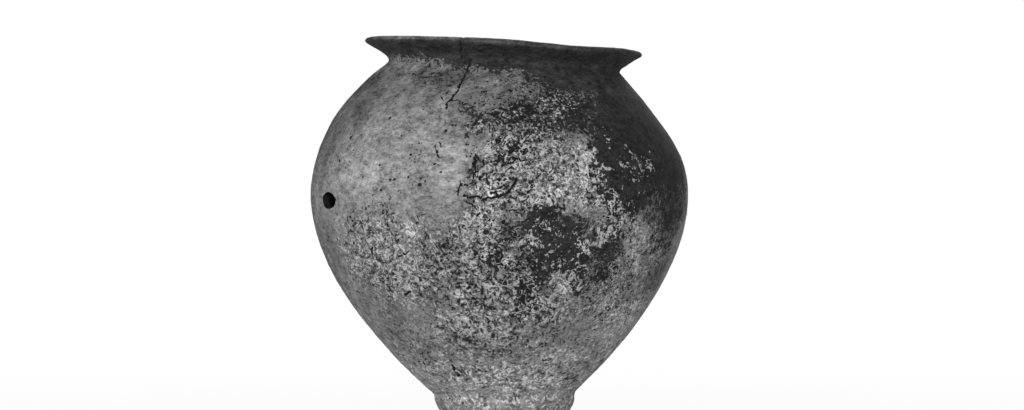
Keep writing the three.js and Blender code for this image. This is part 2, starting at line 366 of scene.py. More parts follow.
# Single flecks of crust on the black: (azimuth, height, half width, half height, tilt)
FLECKS = (
    (15.6, 166.5, 2.2, 2.5, 0), (20.8, 143, 4, 4, 0),
    (37.1, 290.5, 1.8, 1.8, 0), (40.4, 289, 1.8, 2.6, -40), (36.7, 283, 2, 1.6, 0),
    (37.2, 278, 1.6, 4.6, -40), (36.8, 270, 1.4, 1.4, 0), (43.5, 272.3, 1.8, 2.6, -40),
    (44.6, 266.5, 1.4, 2, -30), (39.4, 252.5, 3, 1.2, -30), (42, 250.5, 5, 0.8, 0),
    (47, 256.5, 1.6, 1.3, 0), (52.5, 255, 4.6, 4.4, 0), (52.5, 249, 3.6, 2.4, 0),
    (44, 244.6, 3.2, 1.6, 0), (47, 245.4, 2, 1.4, 0), (42, 242.6, 1.3, 1.3, 0),
    (35.2, 247.2, 3.2, 1.3, 0), (32.8, 250.5, 1.6, 5, 20), (43.6, 236, 1.4, 3, 20),
    (47.5, 233.6, 2, 2, 0), (38.8, 229.4, 1, 2.2, -20), (45.9, 222.6, 3, 1.2, 20),
    (32.6, 231.3, 3.2, 2.6, 0), (33.8, 224.5, 3.6, 2.4, 0), (36.7, 221.6, 1.8, 1.4, 0),
    (34.9, 213, 1.6, 6.6, 0), (38, 213.9, 2, 3, 0), (43.2, 214.4, 1.3, 1.6, 0),
    (43.4, 210.3, 2, 1.2, 0), (-8.1, 286.8, 2.6, 1.4, 0), (-6.6, 290, 1.4, 1.4, 0),
    (-2.2, 272, 1.5, 3, 20), (0.8, 342, 1.2, 1.6, 0), (-24, 348, 1, 1.6, 0),
)

# Painted light along the lip's upper edge, where light from above would catch it, with rubbed places
# where the clay shows through the soot
RUBBED_AND_PAINTED_LIP_LIGHT = (
    (-44, 371.6, 76, 3.8, 0, 1.5, 0.95),
    (-2, 370.6, 30, 3.4, 0, 2, 0.3),
    (22, 369.4, 30, 2.4, 0, 2, 0.18),
    (-36, 363, 3, 1.4, -20, 1, 0.4),
)

# Cracks: points (azimuth, height), then width and depth
CRACKS = (
    (((-17.2, 372), (-19.0, 361), (-20.4, 352)), 1.0, 0.5),
    (((-15.6, 352), (-16.0, 343.7), (-16.0, 335.1), (-16.4, 330), (-17.2, 320.8)), 1.0, 0.8),
    (((-17.2, 320.8), (-18.1, 313.3), (-19.3, 308.3), (-19.5, 302.9)), 1.2, 1.2),
    (((-19.4, 309.7), (-17.8, 310.9), (-15.5, 311.1), (-13.9, 308.9)), 0.8, 0.6),
    (((-13.9, 308.9), (-12.4, 302.9), (-11, 297.1)), 0.8, 0.6),
    (((-23.0, 315.3), (-21.1, 310.5)), 0.9, 0.6),
    (((-11.2, 235.8), (-11.0, 231.0), (-11.7, 226.3), (-11.9, 219.2)), 1.35, 1.0),
    (((-11.7, 226.3), (-12.8, 222.7)), 1.2, 0.7),
    (((-11.1, 231.0), (-9.6, 231.0), (-7.7, 232.9)), 0.8, 0.6),
    (((-10.2, 220.6), (-7.6, 219.2), (-6.2, 220.6), (-4.4, 217.7), (-0.4, 219.6)), 1.4, 0.9),
    (((-0.4, 219.6), (2.5, 223.9), (4.4, 231.1), (5.4, 237.8)), 1.3, 0.8),
    (((9.8, 235.0), (9.4, 229.2), (8.8, 224.4)), 1.1, 0.7),
    (((-10.2, 216.8), (-8.1, 213.1), (-6.7, 207.2)), 1.15, 0.8),
    (((-20.2, 268.1), (-19.2, 262.6), (-18.6, 257.1)), 1.0, 0.7),
    (((-19.0, 270.9), (-17.6, 265.9)), 0.7, 0.4),
    (((-20.0, 251.5), (-17.6, 249.7)), 0.8, 0.5),
    (((-6.9, 258.0), (-7.6, 250.5), (-6.6, 243.3), (-7.3, 237.0), (-6.5, 232.0)), 1.0, 0.6),
    (((5.1, 257.1), (6.2, 254.2), (8.3, 254.7)), 1.0, 0.7),
    (((10.4, 267.7), (11.9, 268.8)), 1.0, 0.6),
    (((-36.1, 198.7), (-34.2, 183.1), (-33.4, 177.4), (-32.7, 171.1)), 0.8, 0.6),
    (((-43.4, 172.3), (-44.1, 166.0), (-44.8, 158.7)), 0.8, 0.5),
    (((-29.9, 166.3), (-33.6, 161.4), (-35.2, 160.1)), 0.9, 0.5),
    (((-36.6, 124.8), (-35.0, 126.3), (-33.0, 128.9)), 1.2, 0.7),
    (((-5.5, 204.8), (-6.1, 201.5)), 0.9, 0.5),
    (((-3.3, 200.1), (-2.9, 196.7)), 0.9, 0.5),
    (((1.0, 194.1), (1.5, 197.7)), 0.9, 0.5),
    (((-22.7, 187.1), (-21.8, 179.0)), 0.9, 0.5),
    (((-28.8, 54.5), (-28.2, 48.5), (-28.0, 43.4)), 1.5, 0.9),
    (((-17.1, 55.9), (-14.9, 53.4)), 1.2, 0.7),
    (((-47, 22), (-46, 15)), 0.8, 0.6),
)

# Larger pits, left by grit that fell out: (azimuth, height, radius)
PITS = (
    (-32.4, 236.3, 1.6), (-33.9, 236.3, 1.0), (-37.2, 226.4, 1.7), (-44.8, 238.7, 1.4),
    (-23.8, 231.1, 2.4), (-23.5, 236.9, 1.4), (-22.1, 234.8, 1.2), (-27.8, 259.2, 1.6),
    (-26.1, 252.4, 1.2), (-38.5, 249.5, 1.4), (-32.8, 276.1, 1.3), (-25.7, 269.7, 1.4),
    (-55.6, 273.9, 2.0), (-57.9, 253.1, 1.6), (-43.4, 208.3, 1.3), (-36.6, 211.4, 1.5),
    (-50.8, 200.4, 1.8), (-49.9, 196.5, 1.5), (-51.8, 187.1, 1.9), (-51.7, 175.1, 1.7),
    (-17.5, 281.6, 2.0), (-17.3, 243.2, 1.4), (-17.3, 173.1, 2.6), (-12.3, 165.3, 1.8),
    (-27.7, 238.6, 1.3), (-40.0, 291.9, 1.6), (-41.8, 157.8, 1.8), (-41.2, 140.5, 1.6),
    (-48.6, 55.9, 1.6), (-20.0, 87.9, 1.5), (8.5, 224.4, 1.9), (14.7, 220.6, 1.6),
    (17.6, 243.9, 1.4), (-2.2, 223.6, 1.9), (-1.0, 224.2, 1.5), (-7.4, 216, 1.5),
)

# Noise of the worn surface, in layers: (size of the bumps in millimetres, seed, weight) and, for
# some, how far the bumps are drawn out along X, Y and Z
UNEVENNESS = ((60, 11, 1), (30, 12, 0.55))
RIPPLE = ((11, 21, 0.9, (1.7, 1.7, 0.8)), (5, 22, 0.6, (1.5, 1.5, 1)))
FLAKE_GROUND = ((2.9, 51, 1),)
FLAKE_PATCHES = ((8, 52, 0.55),)
PATCHY_TONE = ((22, 63, 0.12), (9, 64, 0.11, (1.5, 1.5, 1)))
CLUMPS = ((16, 65, 1), (7, 66, 0.6))
FINE = ((2.4, 61, 1),)

# How far noise moves things about, in like layers with the weight in millimetres: the outlines of
# blotches, of cracks and of flecks, and the flakes
STRAY = ((17, 31, 9), (7, 34, 4))
SWAY = ((6, 37, 1.5), (2.8, 55, 1))
FRAY = ((3.4, 45, 2.6),)
WARP = ((4.5, 41, 2.4),)

# Brings the noise up to about 1, and moves the jar off the point where all layers have a corner
NOISE_GAIN = 1.7
NOISE_SHIFT = 500.0

# Flakes: how widely their noise spreads, how steep a curve evens it out, how much they follow
# the broad unevenness, how the clay material spreads the levels of the ground, and the least
# share of the ground that it reckons with
FLAKE_SPREAD = 0.45
EVENING = 1.7
FLAKES_BY_UNEVENNESS = 0.3
GROUND_SPREAD = 0.138
LEAST_SHARE = 0.002

# Crust and hollows: how much they clump, and the levels of the ground between which they set in
CLUMPING = 0.3
CRUST_EDGE = (0.9, 1.1)
HOLLOW_EDGE = 0.1

# Cracks, as shares of a crack's width: how far its sides wander, how much of it is at full depth
# and how much is open and dark. The slope of its lips and the two reaches are millimetres.
CRACK_WANDER = 0.5
CRACK_BED = 0.35
CRACK_OPENING = 0.62
CRACK_LIP = 0.6
CRACK_MARGIN = 6.0
CRACK_REACH = 3.0

# Larger pits, as shares of a pit's radius
PIT_REACH = 2.6
PIT_SQUASH = 1.15
PIT_WIDENING = 1.2
PIT_WANDER = 0.4
PIT_BED = 0.3
PIT_RIM = 1.25

# Small pits of lost grit: the size of the cells that may have one and its usual radius, both in
# millimetres, the least and greatest radius as shares of that, where in its cell a pit may lie,
# the seed, the share of the cells that have one, what hollow ground adds to it, and depths as
# shares of a larger pit's
GRIT_PIT_SPACING = 6.5
GRIT_PIT_RADIUS = 1.6
GRIT_PIT_SIZES = (0.55, 1.25)
GRIT_PIT_PLACES = (0.2, 0.8)
GRIT_PIT_SEED = 71
GRIT_PITS = 0.045
GRIT_PITS_IN_HOLLOWS = 1.1
GRIT_PIT_DEPTH = 0.8
INSIDE_PIT_DEPTH = 0.3

# Soot and the tone of the clay. Soot thins out where it covers little ground, and the clay between soot
# or crust is darker than clean skin. The collar's black is made paler than a fire cloud's as painted
# light on the flare, which faces down and lies in shade, and paler still as painted light along the
# lip's upper edge, where light from above would catch it, and where the lip is rubbed.
SOOT_GATHERING = 1.3
HAZE = 0.58
BARE = 0.42
BARE_FROM_CRUST = 2.5
SMOKE = 0.5
COLLAR_PAINTED_LIGHT = 2.0
LIP_PAINTED_LIGHT_GAIN = 3.4
FLECK_EDGE = 1.0
FLECK_SHARE = 0.55

# The collar's soot and smoke: millimetres above its border at which each begins and is full, how
# much the border wanders as blotches do, and how much of the hollows there the soot fills
COLLAR_EDGE = (-9, 7)
SMOKE_EDGE = (-11, 2)
BORDER_WANDER = 0.35
COLLAR_FILLS = 0.9

# Relief: grain on sound skin and in hollows as shares of the surface grain, the depth of hollows
# as a share of the crust's thickness, and the depth of a pit in millimetres
GRAIN_ON_SKIN = 0.3
GRAIN_IN_HOLLOWS = 3.0
HOLLOW_DEPTH = 1.2
PIT_DEPTH = 0.75

# Calmer places, as the share of the relief that is left: on the ground, from which it comes back
# over this height, and on the floor inside
GROUND_CALM = 0.15
GROUND_CALM_HEIGHT = 8.0
FLOOR_CALM = 0.4

# Inside the jar, as shares of the ground: stained by smoke, with a film of lime
INSIDE_SOOT = 0.8
INSIDE_CRUST = 0.07
INSIDE_TONE = 0.85

# How far up the outer face the points of the inner one count as lying, so that no blotch and no
# crack reaches them
NOWHERE = 1e6

# Keeps distances growing where two points coincide, lets heights differ by rounding, and keeps
# a direction of no length from being divided by nothing
TINY_STEP = 1e-6
ROUNDING = 0.01
NO_LENGTH = 1e-12

# How many points a curve of the section is worked out at, and a curve of the wall, and how far
# to either side of a point of the wall its direction is taken
CURVE_POINTS = 400
WALL_CURVE_POINTS = 1500
PROBE = 0.5

# What the clay material reads at each point of the mesh, and what it finds in a joint
FIELDS = {
    "flake": 0.5, "soot": -1.0, "crust": -1.0, "hollow": -1.0, "haze": 1.0, "tone": 0.8,
    "crack": -CRACK_REACH, "pit": 0.0,
}


def linear(hex_colour):
    """A colour written as sRGB hex, in the linear values that the nodes take."""
    channels = [int(hex_colour[i:i + 2], 16) / 255 for i in (0, 2, 4)]
    return tuple(c / 12.92 if c <= 0.04045 else ((c + 0.055) / 1.055) ** 2.4 for c in channels)


class UrnSizes(bpy.types.PropertyGroup):
    columns: bpy.props.IntProperty(
        name="Columns", default=1024, min=256, max=2048,
        description="Points round the outer face, a multiple of 64",
    )
    row_step: bpy.props.FloatProperty(
        name="Row step", default=1.1 * METRES, unit="LENGTH",
        description="Distance between rows of points on the outer face",
    )
    inner_row_step: bpy.props.FloatProperty(
        name="Inner row step", default=4.5 * METRES, unit="LENGTH",
        description="Distance between rows of points inside the jar",
    )
    unevenness: bpy.props.FloatProperty(
        name="Unevenness", default=0.45 * METRES, unit="LENGTH",
        description="How far the hand-built wall wanders from its true form",
    )
    grain: bpy.props.FloatProperty(
        name="Surface grain", default=0.16 * METRES, unit="LENGTH",
        description="Height of the small bumps that wiping and weathering left",
    )
    crust_thickness: bpy.props.FloatProperty(
        name="Crust thickness", default=0.32 * METRES, unit="LENGTH",
        description="How far the lime crust stands up from the clay",
    )


class UrnColours(bpy.types.PropertyGroup):
    clay: bpy.props.FloatVectorProperty(
        name="Clay", subtype="COLOR", default=linear("8A8A8A"),
        description="Smoothed and fired skin of the pot",
    )
    soot: bpy.props.FloatVectorProperty(
        name="Soot", subtype="COLOR", default=linear("2A2A2A"),
        description="Fire clouds and the blackened collar",
    )
    crust: bpy.props.FloatVectorProperty(
        name="Crust", subtype="COLOR", default=linear("BEBEBE"),
        description="Lime crust and bare, flaked clay",
    )
    # Near-black put in hollows, pits and cracks; in the hollows it is painted shadow beside the flakes'
    # lips as well as soil
    soil_and_shade: bpy.props.FloatVectorProperty(
        name="Dirt", subtype="COLOR", default=linear("161616"),
        description="Soil left in hollows, pits and cracks",
    )
    floor: bpy.props.FloatVectorProperty(
        name="Floor", subtype="COLOR", default=linear("E6E6E6"),
        description="Paper under the jar",
    )


def smoothstep(low, high, value):
    """A smooth rise from 0 where a value is low to 1 where it is high."""
    share = np.clip((value - low) / (high - low), 0, 1)
    return share * share * (3 - 2 * share)


# Noise

# How many random directions there are, a power of two
GRADIENTS = 256


def lattice(seed):
    """Random directions for the corners of a lattice, and a shuffled order to look them up in."""
    rng = np.random.default_rng(seed)
    ways = rng.normal(size=(GRADIENTS, 3)).astype(np.float32)
    ways /= np.linalg.norm(ways, axis=1, keepdims=True)
    order = rng.permutation(GRADIENTS)
    return ways, np.concatenate([order, order]), rng


def corner_index(order, cell, corner):
    """Which random direction or value belongs to one corner of each place's cell."""
    at = (cell + np.array(corner)) & (GRADIENTS - 1)
    return order[order[order[at[:, 0]] + at[:, 1]] + at[:, 2]]


def noise(places, size, seed, stretch=(1, 1, 1)):
    """Smooth noise, mostly between -1 and 1, with bumps about size across."""
    ways, order, _ = lattice(seed)
    at = (places / (size * np.array(stretch))).astype(np.float32)
    cell = np.floor(at).astype(np.int64)
    within = at - cell
    ease = within ** 3 * (within * (within * 6 - 15) + 10)
    total = np.zeros(len(places), np.float32)
    for corner in itertools.product((0, 1), repeat=3):
        weight = np.prod(np.where(np.array(corner), ease, 1 - ease), axis=1)
        slope = ways[corner_index(order, cell, corner)]
        total += weight * np.einsum("ij,ij->i", slope, within - np.array(corner, np.float32))
    return total * NOISE_GAIN


def mixed(places, layers, shift=0):
    """Layers of noise added up, with their seeds moved on by shift."""
    return sum(
        weight * noise(places, size, seed + shift, *stretch) for size, seed, weight, *stretch in layers
    )


def wander(places, layers, ways=2):
    """How far noise moves each place along two or three axes, in millimetres."""
    return np.stack([mixed(places, layers, i) for i in range(ways)], axis=1)


def scattered_pits(places, spacing, radius, density, seed):
    """Bowls of about that radius at random points, from 0 outside to 1 at the bottom."""
    _, order, rng = lattice(seed)
    jitter = rng.uniform(*GRIT_PIT_PLACES, size=(GRADIENTS, 3)).astype(np.float32)
    width = rng.uniform(*GRIT_PIT_SIZES, size=GRADIENTS).astype(np.float32) * radius / spacing
    chance = rng.uniform(size=GRADIENTS).astype(np.float32)
    at = (places / spacing).astype(np.float32)
    cell = np.floor(at - 0.5).astype(np.int64)
    bowl = np.zeros(len(places), np.float32)
    for corner in itertools.product((0, 1), repeat=3):
        index = corner_index(order, cell, corner)
        centre = cell + np.array(corner) + jitter[index]
        away = ((at - centre) ** 2).sum(axis=1) / width[index] ** 2
        bowl = np.maximum(bowl, np.where(chance[index] < density, 1 - away, 0))
    return bowl


# Section of the jar: radius and height of points on its outer and inner face

def point(radius, height):
    return np.array([radius, height], float)


def rising(slope):
    """The direction that leans outwards from upright by that many degrees."""
    return point(math.sin(math.radians(slope)), math.cos(math.radians(slope)))


def bezier(*points, count=CURVE_POINTS):
    """Points along a Bezier curve of any degree."""
    share = np.linspace(0, 1, count)[:, None]
    level = [np.broadcast_to(p, (count, 2)) for p in points]
    while len(level) > 1:
        level = [(1 - share) * a + share * b for a, b in zip(level, level[1:])]
    return level[0]


def lengths(points):
    """How far along a line each of its points lies."""
    return np.concatenate([[0], np.cumsum(np.linalg.norm(np.diff(points, axis=0), axis=1))])


def make_wall_face():
    """The outer face of the wall in section, from the floor slab up to the neck."""
    floor_edge = point(FLOOR_RADIUS, FLOOR_THICKNESS)
    belly = point(BELLY_RADIUS, BELLY_HEIGHT)
    end = point(NECK_RADIUS + NECK_BEND_WIDTH, NECK_HEIGHT - NECK_BEND_DROP)
    lower = bezier(
        floor_edge, floor_edge + rising(FLOOR_SLOPE) * FLOOR_PULL,
        point(BELLY_RADIUS, BELLY_HEIGHT - LOWER_BELLY_PULL), belly, count=WALL_CURVE_POINTS,
    )
    upper = bezier(
        belly, point(BELLY_RADIUS, BELLY_HEIGHT + UPPER_BELLY_PULL),
        end + rising(180 - SHOULDER_SLOPE) * SHOULDER_PULL, end, count=WALL_CURVE_POINTS,
    )
    return np.vstack([lower, upper[1:]])


WALL_FACE = make_wall_face()
WALL_ALONG = lengths(WALL_FACE)
WALL_LENGTH = WALL_ALONG[-1]
WALL_WAY = np.gradient(WALL_FACE, WALL_ALONG, axis=0)


def wall_points(along, depth=0.0):
    """Points of the wall by their distance along its outer face and their depth in the clay."""
    along = np.atleast_1d(np.asarray(along, float))
    r, z, way_r, way_z = (
        np.interp(along, WALL_ALONG, v)
        for v in (WALL_FACE[:, 0], WALL_FACE[:, 1], WALL_WAY[:, 0], WALL_WAY[:, 1])
    )
    size = np.hypot(way_r, way_z)
    return np.stack([r - way_z / size * depth, z + way_r / size * depth], axis=1)


def wall_thickness(along):
    """Thickness of the wall, which thins evenly from the floor to the neck."""
    return WALL_AT_FLOOR + (WALL_AT_NECK - WALL_AT_FLOOR) * np.asarray(along) / WALL_LENGTH


def along_at_height(height):
    """How far along the wall's outer face a height below the belly's widest is reached."""
    below = WALL_FACE[:, 1] <= BELLY_HEIGHT
    return float(np.interp(height, WALL_FACE[below, 1], WALL_ALONG[below]))


def evenly(line, step):
    """A line of points taken again at equal distances of about step."""
    along = lengths(line)
    count = max(2, math.ceil(along[-1] / step) + 1)
    at = np.linspace(0, along[-1], count)
    return np.stack([np.interp(at, along, line[:, 0]), np.interp(at, along, line[:, 1])], axis=1)


def seams():
    """Distances along the outer face at which one strap ends and the next begins."""
    hole = along_at_height(BELLY_HEIGHT - SOUL_HOLE_DROP)
    low = hole - SOUL_HOLE_INNER_HEIGHT / 2 - SOUL_HOLE_MARGIN - BEVEL
    high = hole + SOUL_HOLE_INNER_HEIGHT / 2 + SOUL_HOLE_MARGIN
    lower = np.linspace(0, low, LOWER_STRAPS + 1)
    upper = np.linspace(high, WALL_LENGTH - COLLAR_SKIRT, SHOULDER_STRAPS + 1)
    return np.concatenate([lower, upper])


def foot_side():
    """The foot's outline from the ground up to the wall, and where on the wall it ends."""
    height = FLOOR_THICKNESS + FOOT_RISE
    radius = wall_points(along_at_height(height))[0, 0] + FOOT_STEP
    top = along_at_height(height + FOOT_SHOULDER)
    tread = FLOOR_RADIUS - SLAB_BEVEL + FOOT_TREAD
    side = bezier(point(tread, 0), point(radius, FOOT_ROUNDING), point(radius, height))
    return np.vstack([side, wall_points(top)]), top


def collar_line():
    """The collar's outline from the neck out to the lip, over it and down into the mouth."""
    flare_end = point(NECK_RADIUS + FLARE_REACH, NECK_HEIGHT + FLARE_RISE)
    flare_turn = flare_end - rising(90 - FLARE_SLOPE) * FLARE_PULL
    lip_radius = flare_end[0] + LIP_BULGE
    lip_top = point(lip_radius - LIP_ROUNDING, flare_end[1] + LIP_EDGE)
    crest = point(lip_top[0] - LIP_TOP_WIDTH, lip_top[1] + LIP_CREST)
    throat = point(NECK_RADIUS - WALL_AT_NECK, NECK_HEIGHT)
    wall_end = wall_points(WALL_LENGTH, wall_thickness(WALL_LENGTH))[0]
    throat_turn = wall_end[1] + (wall_end[0] - throat[0]) / math.tan(math.radians(SHOULDER_SLOPE))
    neck = point(NECK_RADIUS, NECK_HEIGHT)
    lip_middle = point(
        2 * lip_radius - (flare_end[0] + lip_top[0]) / 2, (flare_end[1] + lip_top[1]) / 2,
    )
    outside = np.vstack([
        wall_points(WALL_LENGTH),
        bezier(neck, neck + point(0, NECK_PULL), flare_turn, flare_end),
        bezier(flare_end, lip_middle, lip_top)[1:],
        crest,
    ])
    inside = np.vstack([
        bezier(
            crest, crest - rising(90 - MOUTH_SLOPE) * MOUTH_PULL,
            throat + point(0, THROAT_PULL), throat,
        ),
        bezier(throat, point(throat[0], throat_turn), wall_end)[1:],
    ])
    return outside, inside


# The skin is one closed surface: rings of points from the middle of the underside, up the
# outside, over the lip and down the inside to the middle of the floor. Each piece takes the
# rings between its own seams, so that no seam shows.

class Ring:
    """One ring of the skin: its point of the section, how many points it has, and whether the
    paint and the wear of the outer face reach it."""

    def __init__(self, at, columns, outside):
        self.at = at
        self.columns = columns
        self.outside = outside


def add_rings(rings, line, columns, outside):
    """Adds a line of the section, less its first point if the line before ends there, and
    returns the number of its last ring."""
    start = 1 if rings and np.allclose(rings[-1].at, line[0]) else 0
    rings.extend(Ring(p, columns, outside) for p in line[start:])
    return len(rings) - 1


def make_rings(sizes):
    """All rings in order, and the index of each ring at which a piece begins or ends."""
    full = sizes.columns
    half = full // 2
    step = sizes.row_step / METRES
    inner_step = sizes.inner_row_step / METRES
    marks = {}
    rings = []
    for first, last, gap, thinning in UNDERSIDE:
        line = evenly(np.array([point(first, 0), point(last, 0)]), gap)
        marks["slab edge"] = add_rings(rings, line, full // thinning, True)
    tread = np.array([point(UNDER_RADIUS, 0), point(UNDER_RADIUS + FOOT_TREAD, 0)])
    add_rings(rings, evenly(tread, step), full, True)
    side, foot_top = foot_side()
    marks["foot top"] = add_rings(rings, evenly(side, step), full, True)
    stops = seams()
    stops[0] = foot_top
    for i, (low, high) in enumerate(zip(stops, stops[1:])):
        line = wall_points(np.linspace(low, high, math.ceil((high - low) / step) + 1))
        marks["outer", i + 1] = add_rings(rings, line, full, True)
    outside, inside = collar_line()
    skirt = wall_points(np.linspace(stops[-1], WALL_LENGTH, math.ceil(COLLAR_SKIRT / step) + 1))
    add_rings(rings, skirt, full, True)
    marks["crest"] = add_rings(rings, evenly(outside, step), full, True)
    add_rings(rings, evenly(inside, MOUTH_STEP * step), full, False)
    inner_stops = np.append(WALL_LENGTH, seams()[:0:-1] + BEVEL)
    for seam, high, low in zip(range(COLLAR_SEAM, 0, -1), inner_stops, inner_stops[1:]):
        along = np.linspace(high, low, math.ceil((high - low) / inner_step) + 1)[1:]
        line = wall_points(along, wall_thickness(along))
        marks["inner", seam] = add_rings(rings, line, half, False)
    along = np.linspace(inner_stops[-1], along_at_height(FLOOR_THICKNESS), LOW_ROWS)[1:]
    low_wall = wall_points(along, wall_thickness(along))
    low_wall = low_wall[low_wall[:, 1] > FLOOR_THICKNESS + HEEL_CLEARANCE]
    heel = heel_point()
    marks["heel"] = add_rings(rings, np.vstack([low_wall, heel]), half, False)
    floor = evenly(np.array([heel, point(FLOOR_RING, FLOOR_THICKNESS)]), inner_step)
    add_rings(rings, floor, half, False)
    middle = np.array([point(radius, FLOOR_THICKNESS) for radius in FLOOR_MIDDLE])
    add_rings(rings, middle, full // MIDDLE_THINNING, False)
    return rings, marks


def heel_point():
    """Where the inner face of the first strap meets the floor slab."""
    along = along_at_height(FLOOR_THICKNESS)
    inner = wall_points(along, wall_thickness(along))[0]
    run = (inner[1] - FLOOR_THICKNESS) * math.tan(math.radians(FLOOR_SLOPE))
    return point(inner[0] - run, FLOOR_THICKNESS)


def ring_normals(at):
    """Outward directions of the skin in the section, one for each ring."""
    way = np.gradient(at, lengths(at) + np.arange(len(at)) * TINY_STEP, axis=0)
    way /= np.linalg.norm(way, axis=1, keepdims=True)
    return np.stack([way[:, 1], -way[:, 0]], axis=1)


def around(turn, radius, height):
    """Points round the axis, by their angle from the front in radians."""
    return np.stack([radius * np.sin(turn), -radius * np.cos(turn), height], axis=1)


# Paint, painted light and shade, and wear of the outer face

class Surface:
    """Points of the skin: azimuth, place in the section, direction out of the clay, how far up
    the outer face each one lies, which is what blotches and cracks are measured in, and whether
    it is on that face."""

    def __init__(self, azimuth, at, out, place, outside):
        self.azimuth = azimuth
        self.turn = np.radians(azimuth)
        self.radius, self.height = at.T
        self.out_radius, self.out_height = out.T
        self.place = place
        self.outside = outside
        self.seed_places = around(self.turn, self.radius, self.height) + NOISE_SHIFT


def near(surface, ladder, azimuth, height, reach):
    """Points of the outer face within reach of a spot, and how far from it each one lies round
    the jar and up the face, in millimetres."""
    place = ladder(height)
    chosen = np.nonzero(surface.outside & (np.abs(surface.place - place) < reach))[0]
    apart = (surface.azimuth[chosen] - azimuth + 180) % 360 - 180
    across = np.radians(apart) * surface.radius[chosen]
    keep = np.abs(across) < reach
    chosen = chosen[keep]
    return chosen, across[keep], surface.place[chosen] - place


def blotch(surface, ladder, spot, stray=None):
    """The points near one blotch, and its amount at each. Where the points stray, its outline
    wanders."""
    azimuth, height, half_width, half_height, tilt, edge, amount = spot
    reach = max(half_width, half_height) + 2 * edge
    chosen, across, up = near(surface, ladder, azimuth, height, reach)
    if stray is not None:
        across = across + stray[chosen, 0]
        up = up + stray[chosen, 1]
    turn = math.radians(tilt)
    along = across * math.cos(turn) + up * math.sin(turn)
    over = up * math.cos(turn) - across * math.sin(turn)
    ratio = np.hypot(along / half_width, over / half_height)
    inside = 0.5 + (1 - ratio) * min(half_width, half_height) / (2 * edge)
    return chosen, amount * smoothstep(0, 1, inside)


def cover(surface, ladder, blotches, stray=None):
    """How much of each point's surroundings the blotches cover, from 0 to 1."""
    bare = np.ones(len(surface.azimuth), np.float32)
    for spot in blotches:
        chosen, share = blotch(surface, ladder, spot, stray)
        bare[chosen] *= 1 - share
    return 1 - bare


def swell(surface, ladder):
    """Broad lifts and hollows of the wall that the potter's hands left, in millimetres."""
    lift = np.zeros(len(surface.azimuth), np.float32)
    for spot in SWELLINGS:
        chosen, height = blotch(surface, ladder, spot)
        lift[chosen] += height
    return lift


def cracks(surface, ladder, sway, wobble):
    """Depth of the cracks, and how far each point lies inside a crack, both in millimetres."""
    depth = np.zeros(len(surface.azimuth), np.float32)
    inside = np.full(len(surface.azimuth), -CRACK_REACH, np.float32)
    for points, width, deep in CRACKS:
        azimuths, heights = np.array(points, float).T
        middle = ((azimuths.min() + azimuths.max()) / 2, (heights.min() + heights.max()) / 2)
        span = max(np.ptp(heights), np.radians(np.ptp(azimuths)) * BELLY_RADIUS)
        chosen, across, up = near(surface, ladder, *middle, span + CRACK_MARGIN)
        base = ladder(middle[1])
        scale = np.radians(1) * surface.radius[chosen]
        across = across + sway[chosen, 0]
        up = up + sway[chosen, 1]
        gap = np.full(len(chosen), np.inf)
        for (a0, h0), (a1, h1) in zip(points, points[1:]):
            start_x, start_y = (a0 - middle[0]) * scale, ladder(h0) - base
            run_x, run_y = (a1 - a0) * scale, ladder(h1) - ladder(h0)
            share = (across - start_x) * run_x + (up - start_y) * run_y
            share = np.clip(share / (run_x ** 2 + run_y ** 2), 0, 1)
            away = np.hypot(across - start_x - share * run_x, up - start_y - share * run_y)
            gap = np.minimum(gap, away)
        gap = gap + CRACK_WANDER * width * wobble[chosen]
        groove = 1 - smoothstep(CRACK_BED * width, width + CRACK_LIP, gap)
        depth[chosen] = np.maximum(depth[chosen], groove * deep)
        inside[chosen] = np.maximum(inside[chosen], CRACK_OPENING * width - gap)
    return depth, inside


def named_pits(surface, ladder, wobble):
    """Bowls where PITS says, from 0 outside to 1 at the bottom."""
    bowl = np.zeros(len(surface.azimuth), np.float32)
    for azimuth, height, radius in PITS:
        chosen, across, up = near(surface, ladder, azimuth, height, PIT_REACH * radius)
        ratio = np.hypot(across / radius, PIT_SQUASH * up / radius) / PIT_WIDENING
        ratio = ratio + PIT_WANDER * wobble[chosen]
        bowl[chosen] = np.maximum(bowl[chosen], 1 - smoothstep(PIT_BED, PIT_RIM, ratio))
    return bowl


def evened(field):
    """A field stretched so that every level between 0 and 1 is equally common in it."""
    return 1 / (1 + np.exp(-EVENING * field / FLAKE_SPREAD))


def ground_level(share):
    """The level below which that share of the ground lies, as the clay material reckons it."""
    share = np.clip(share, LEAST_SHARE, 1 - LEAST_SHARE)
    return 0.5 + GROUND_SPREAD * np.log(share / (1 - share))


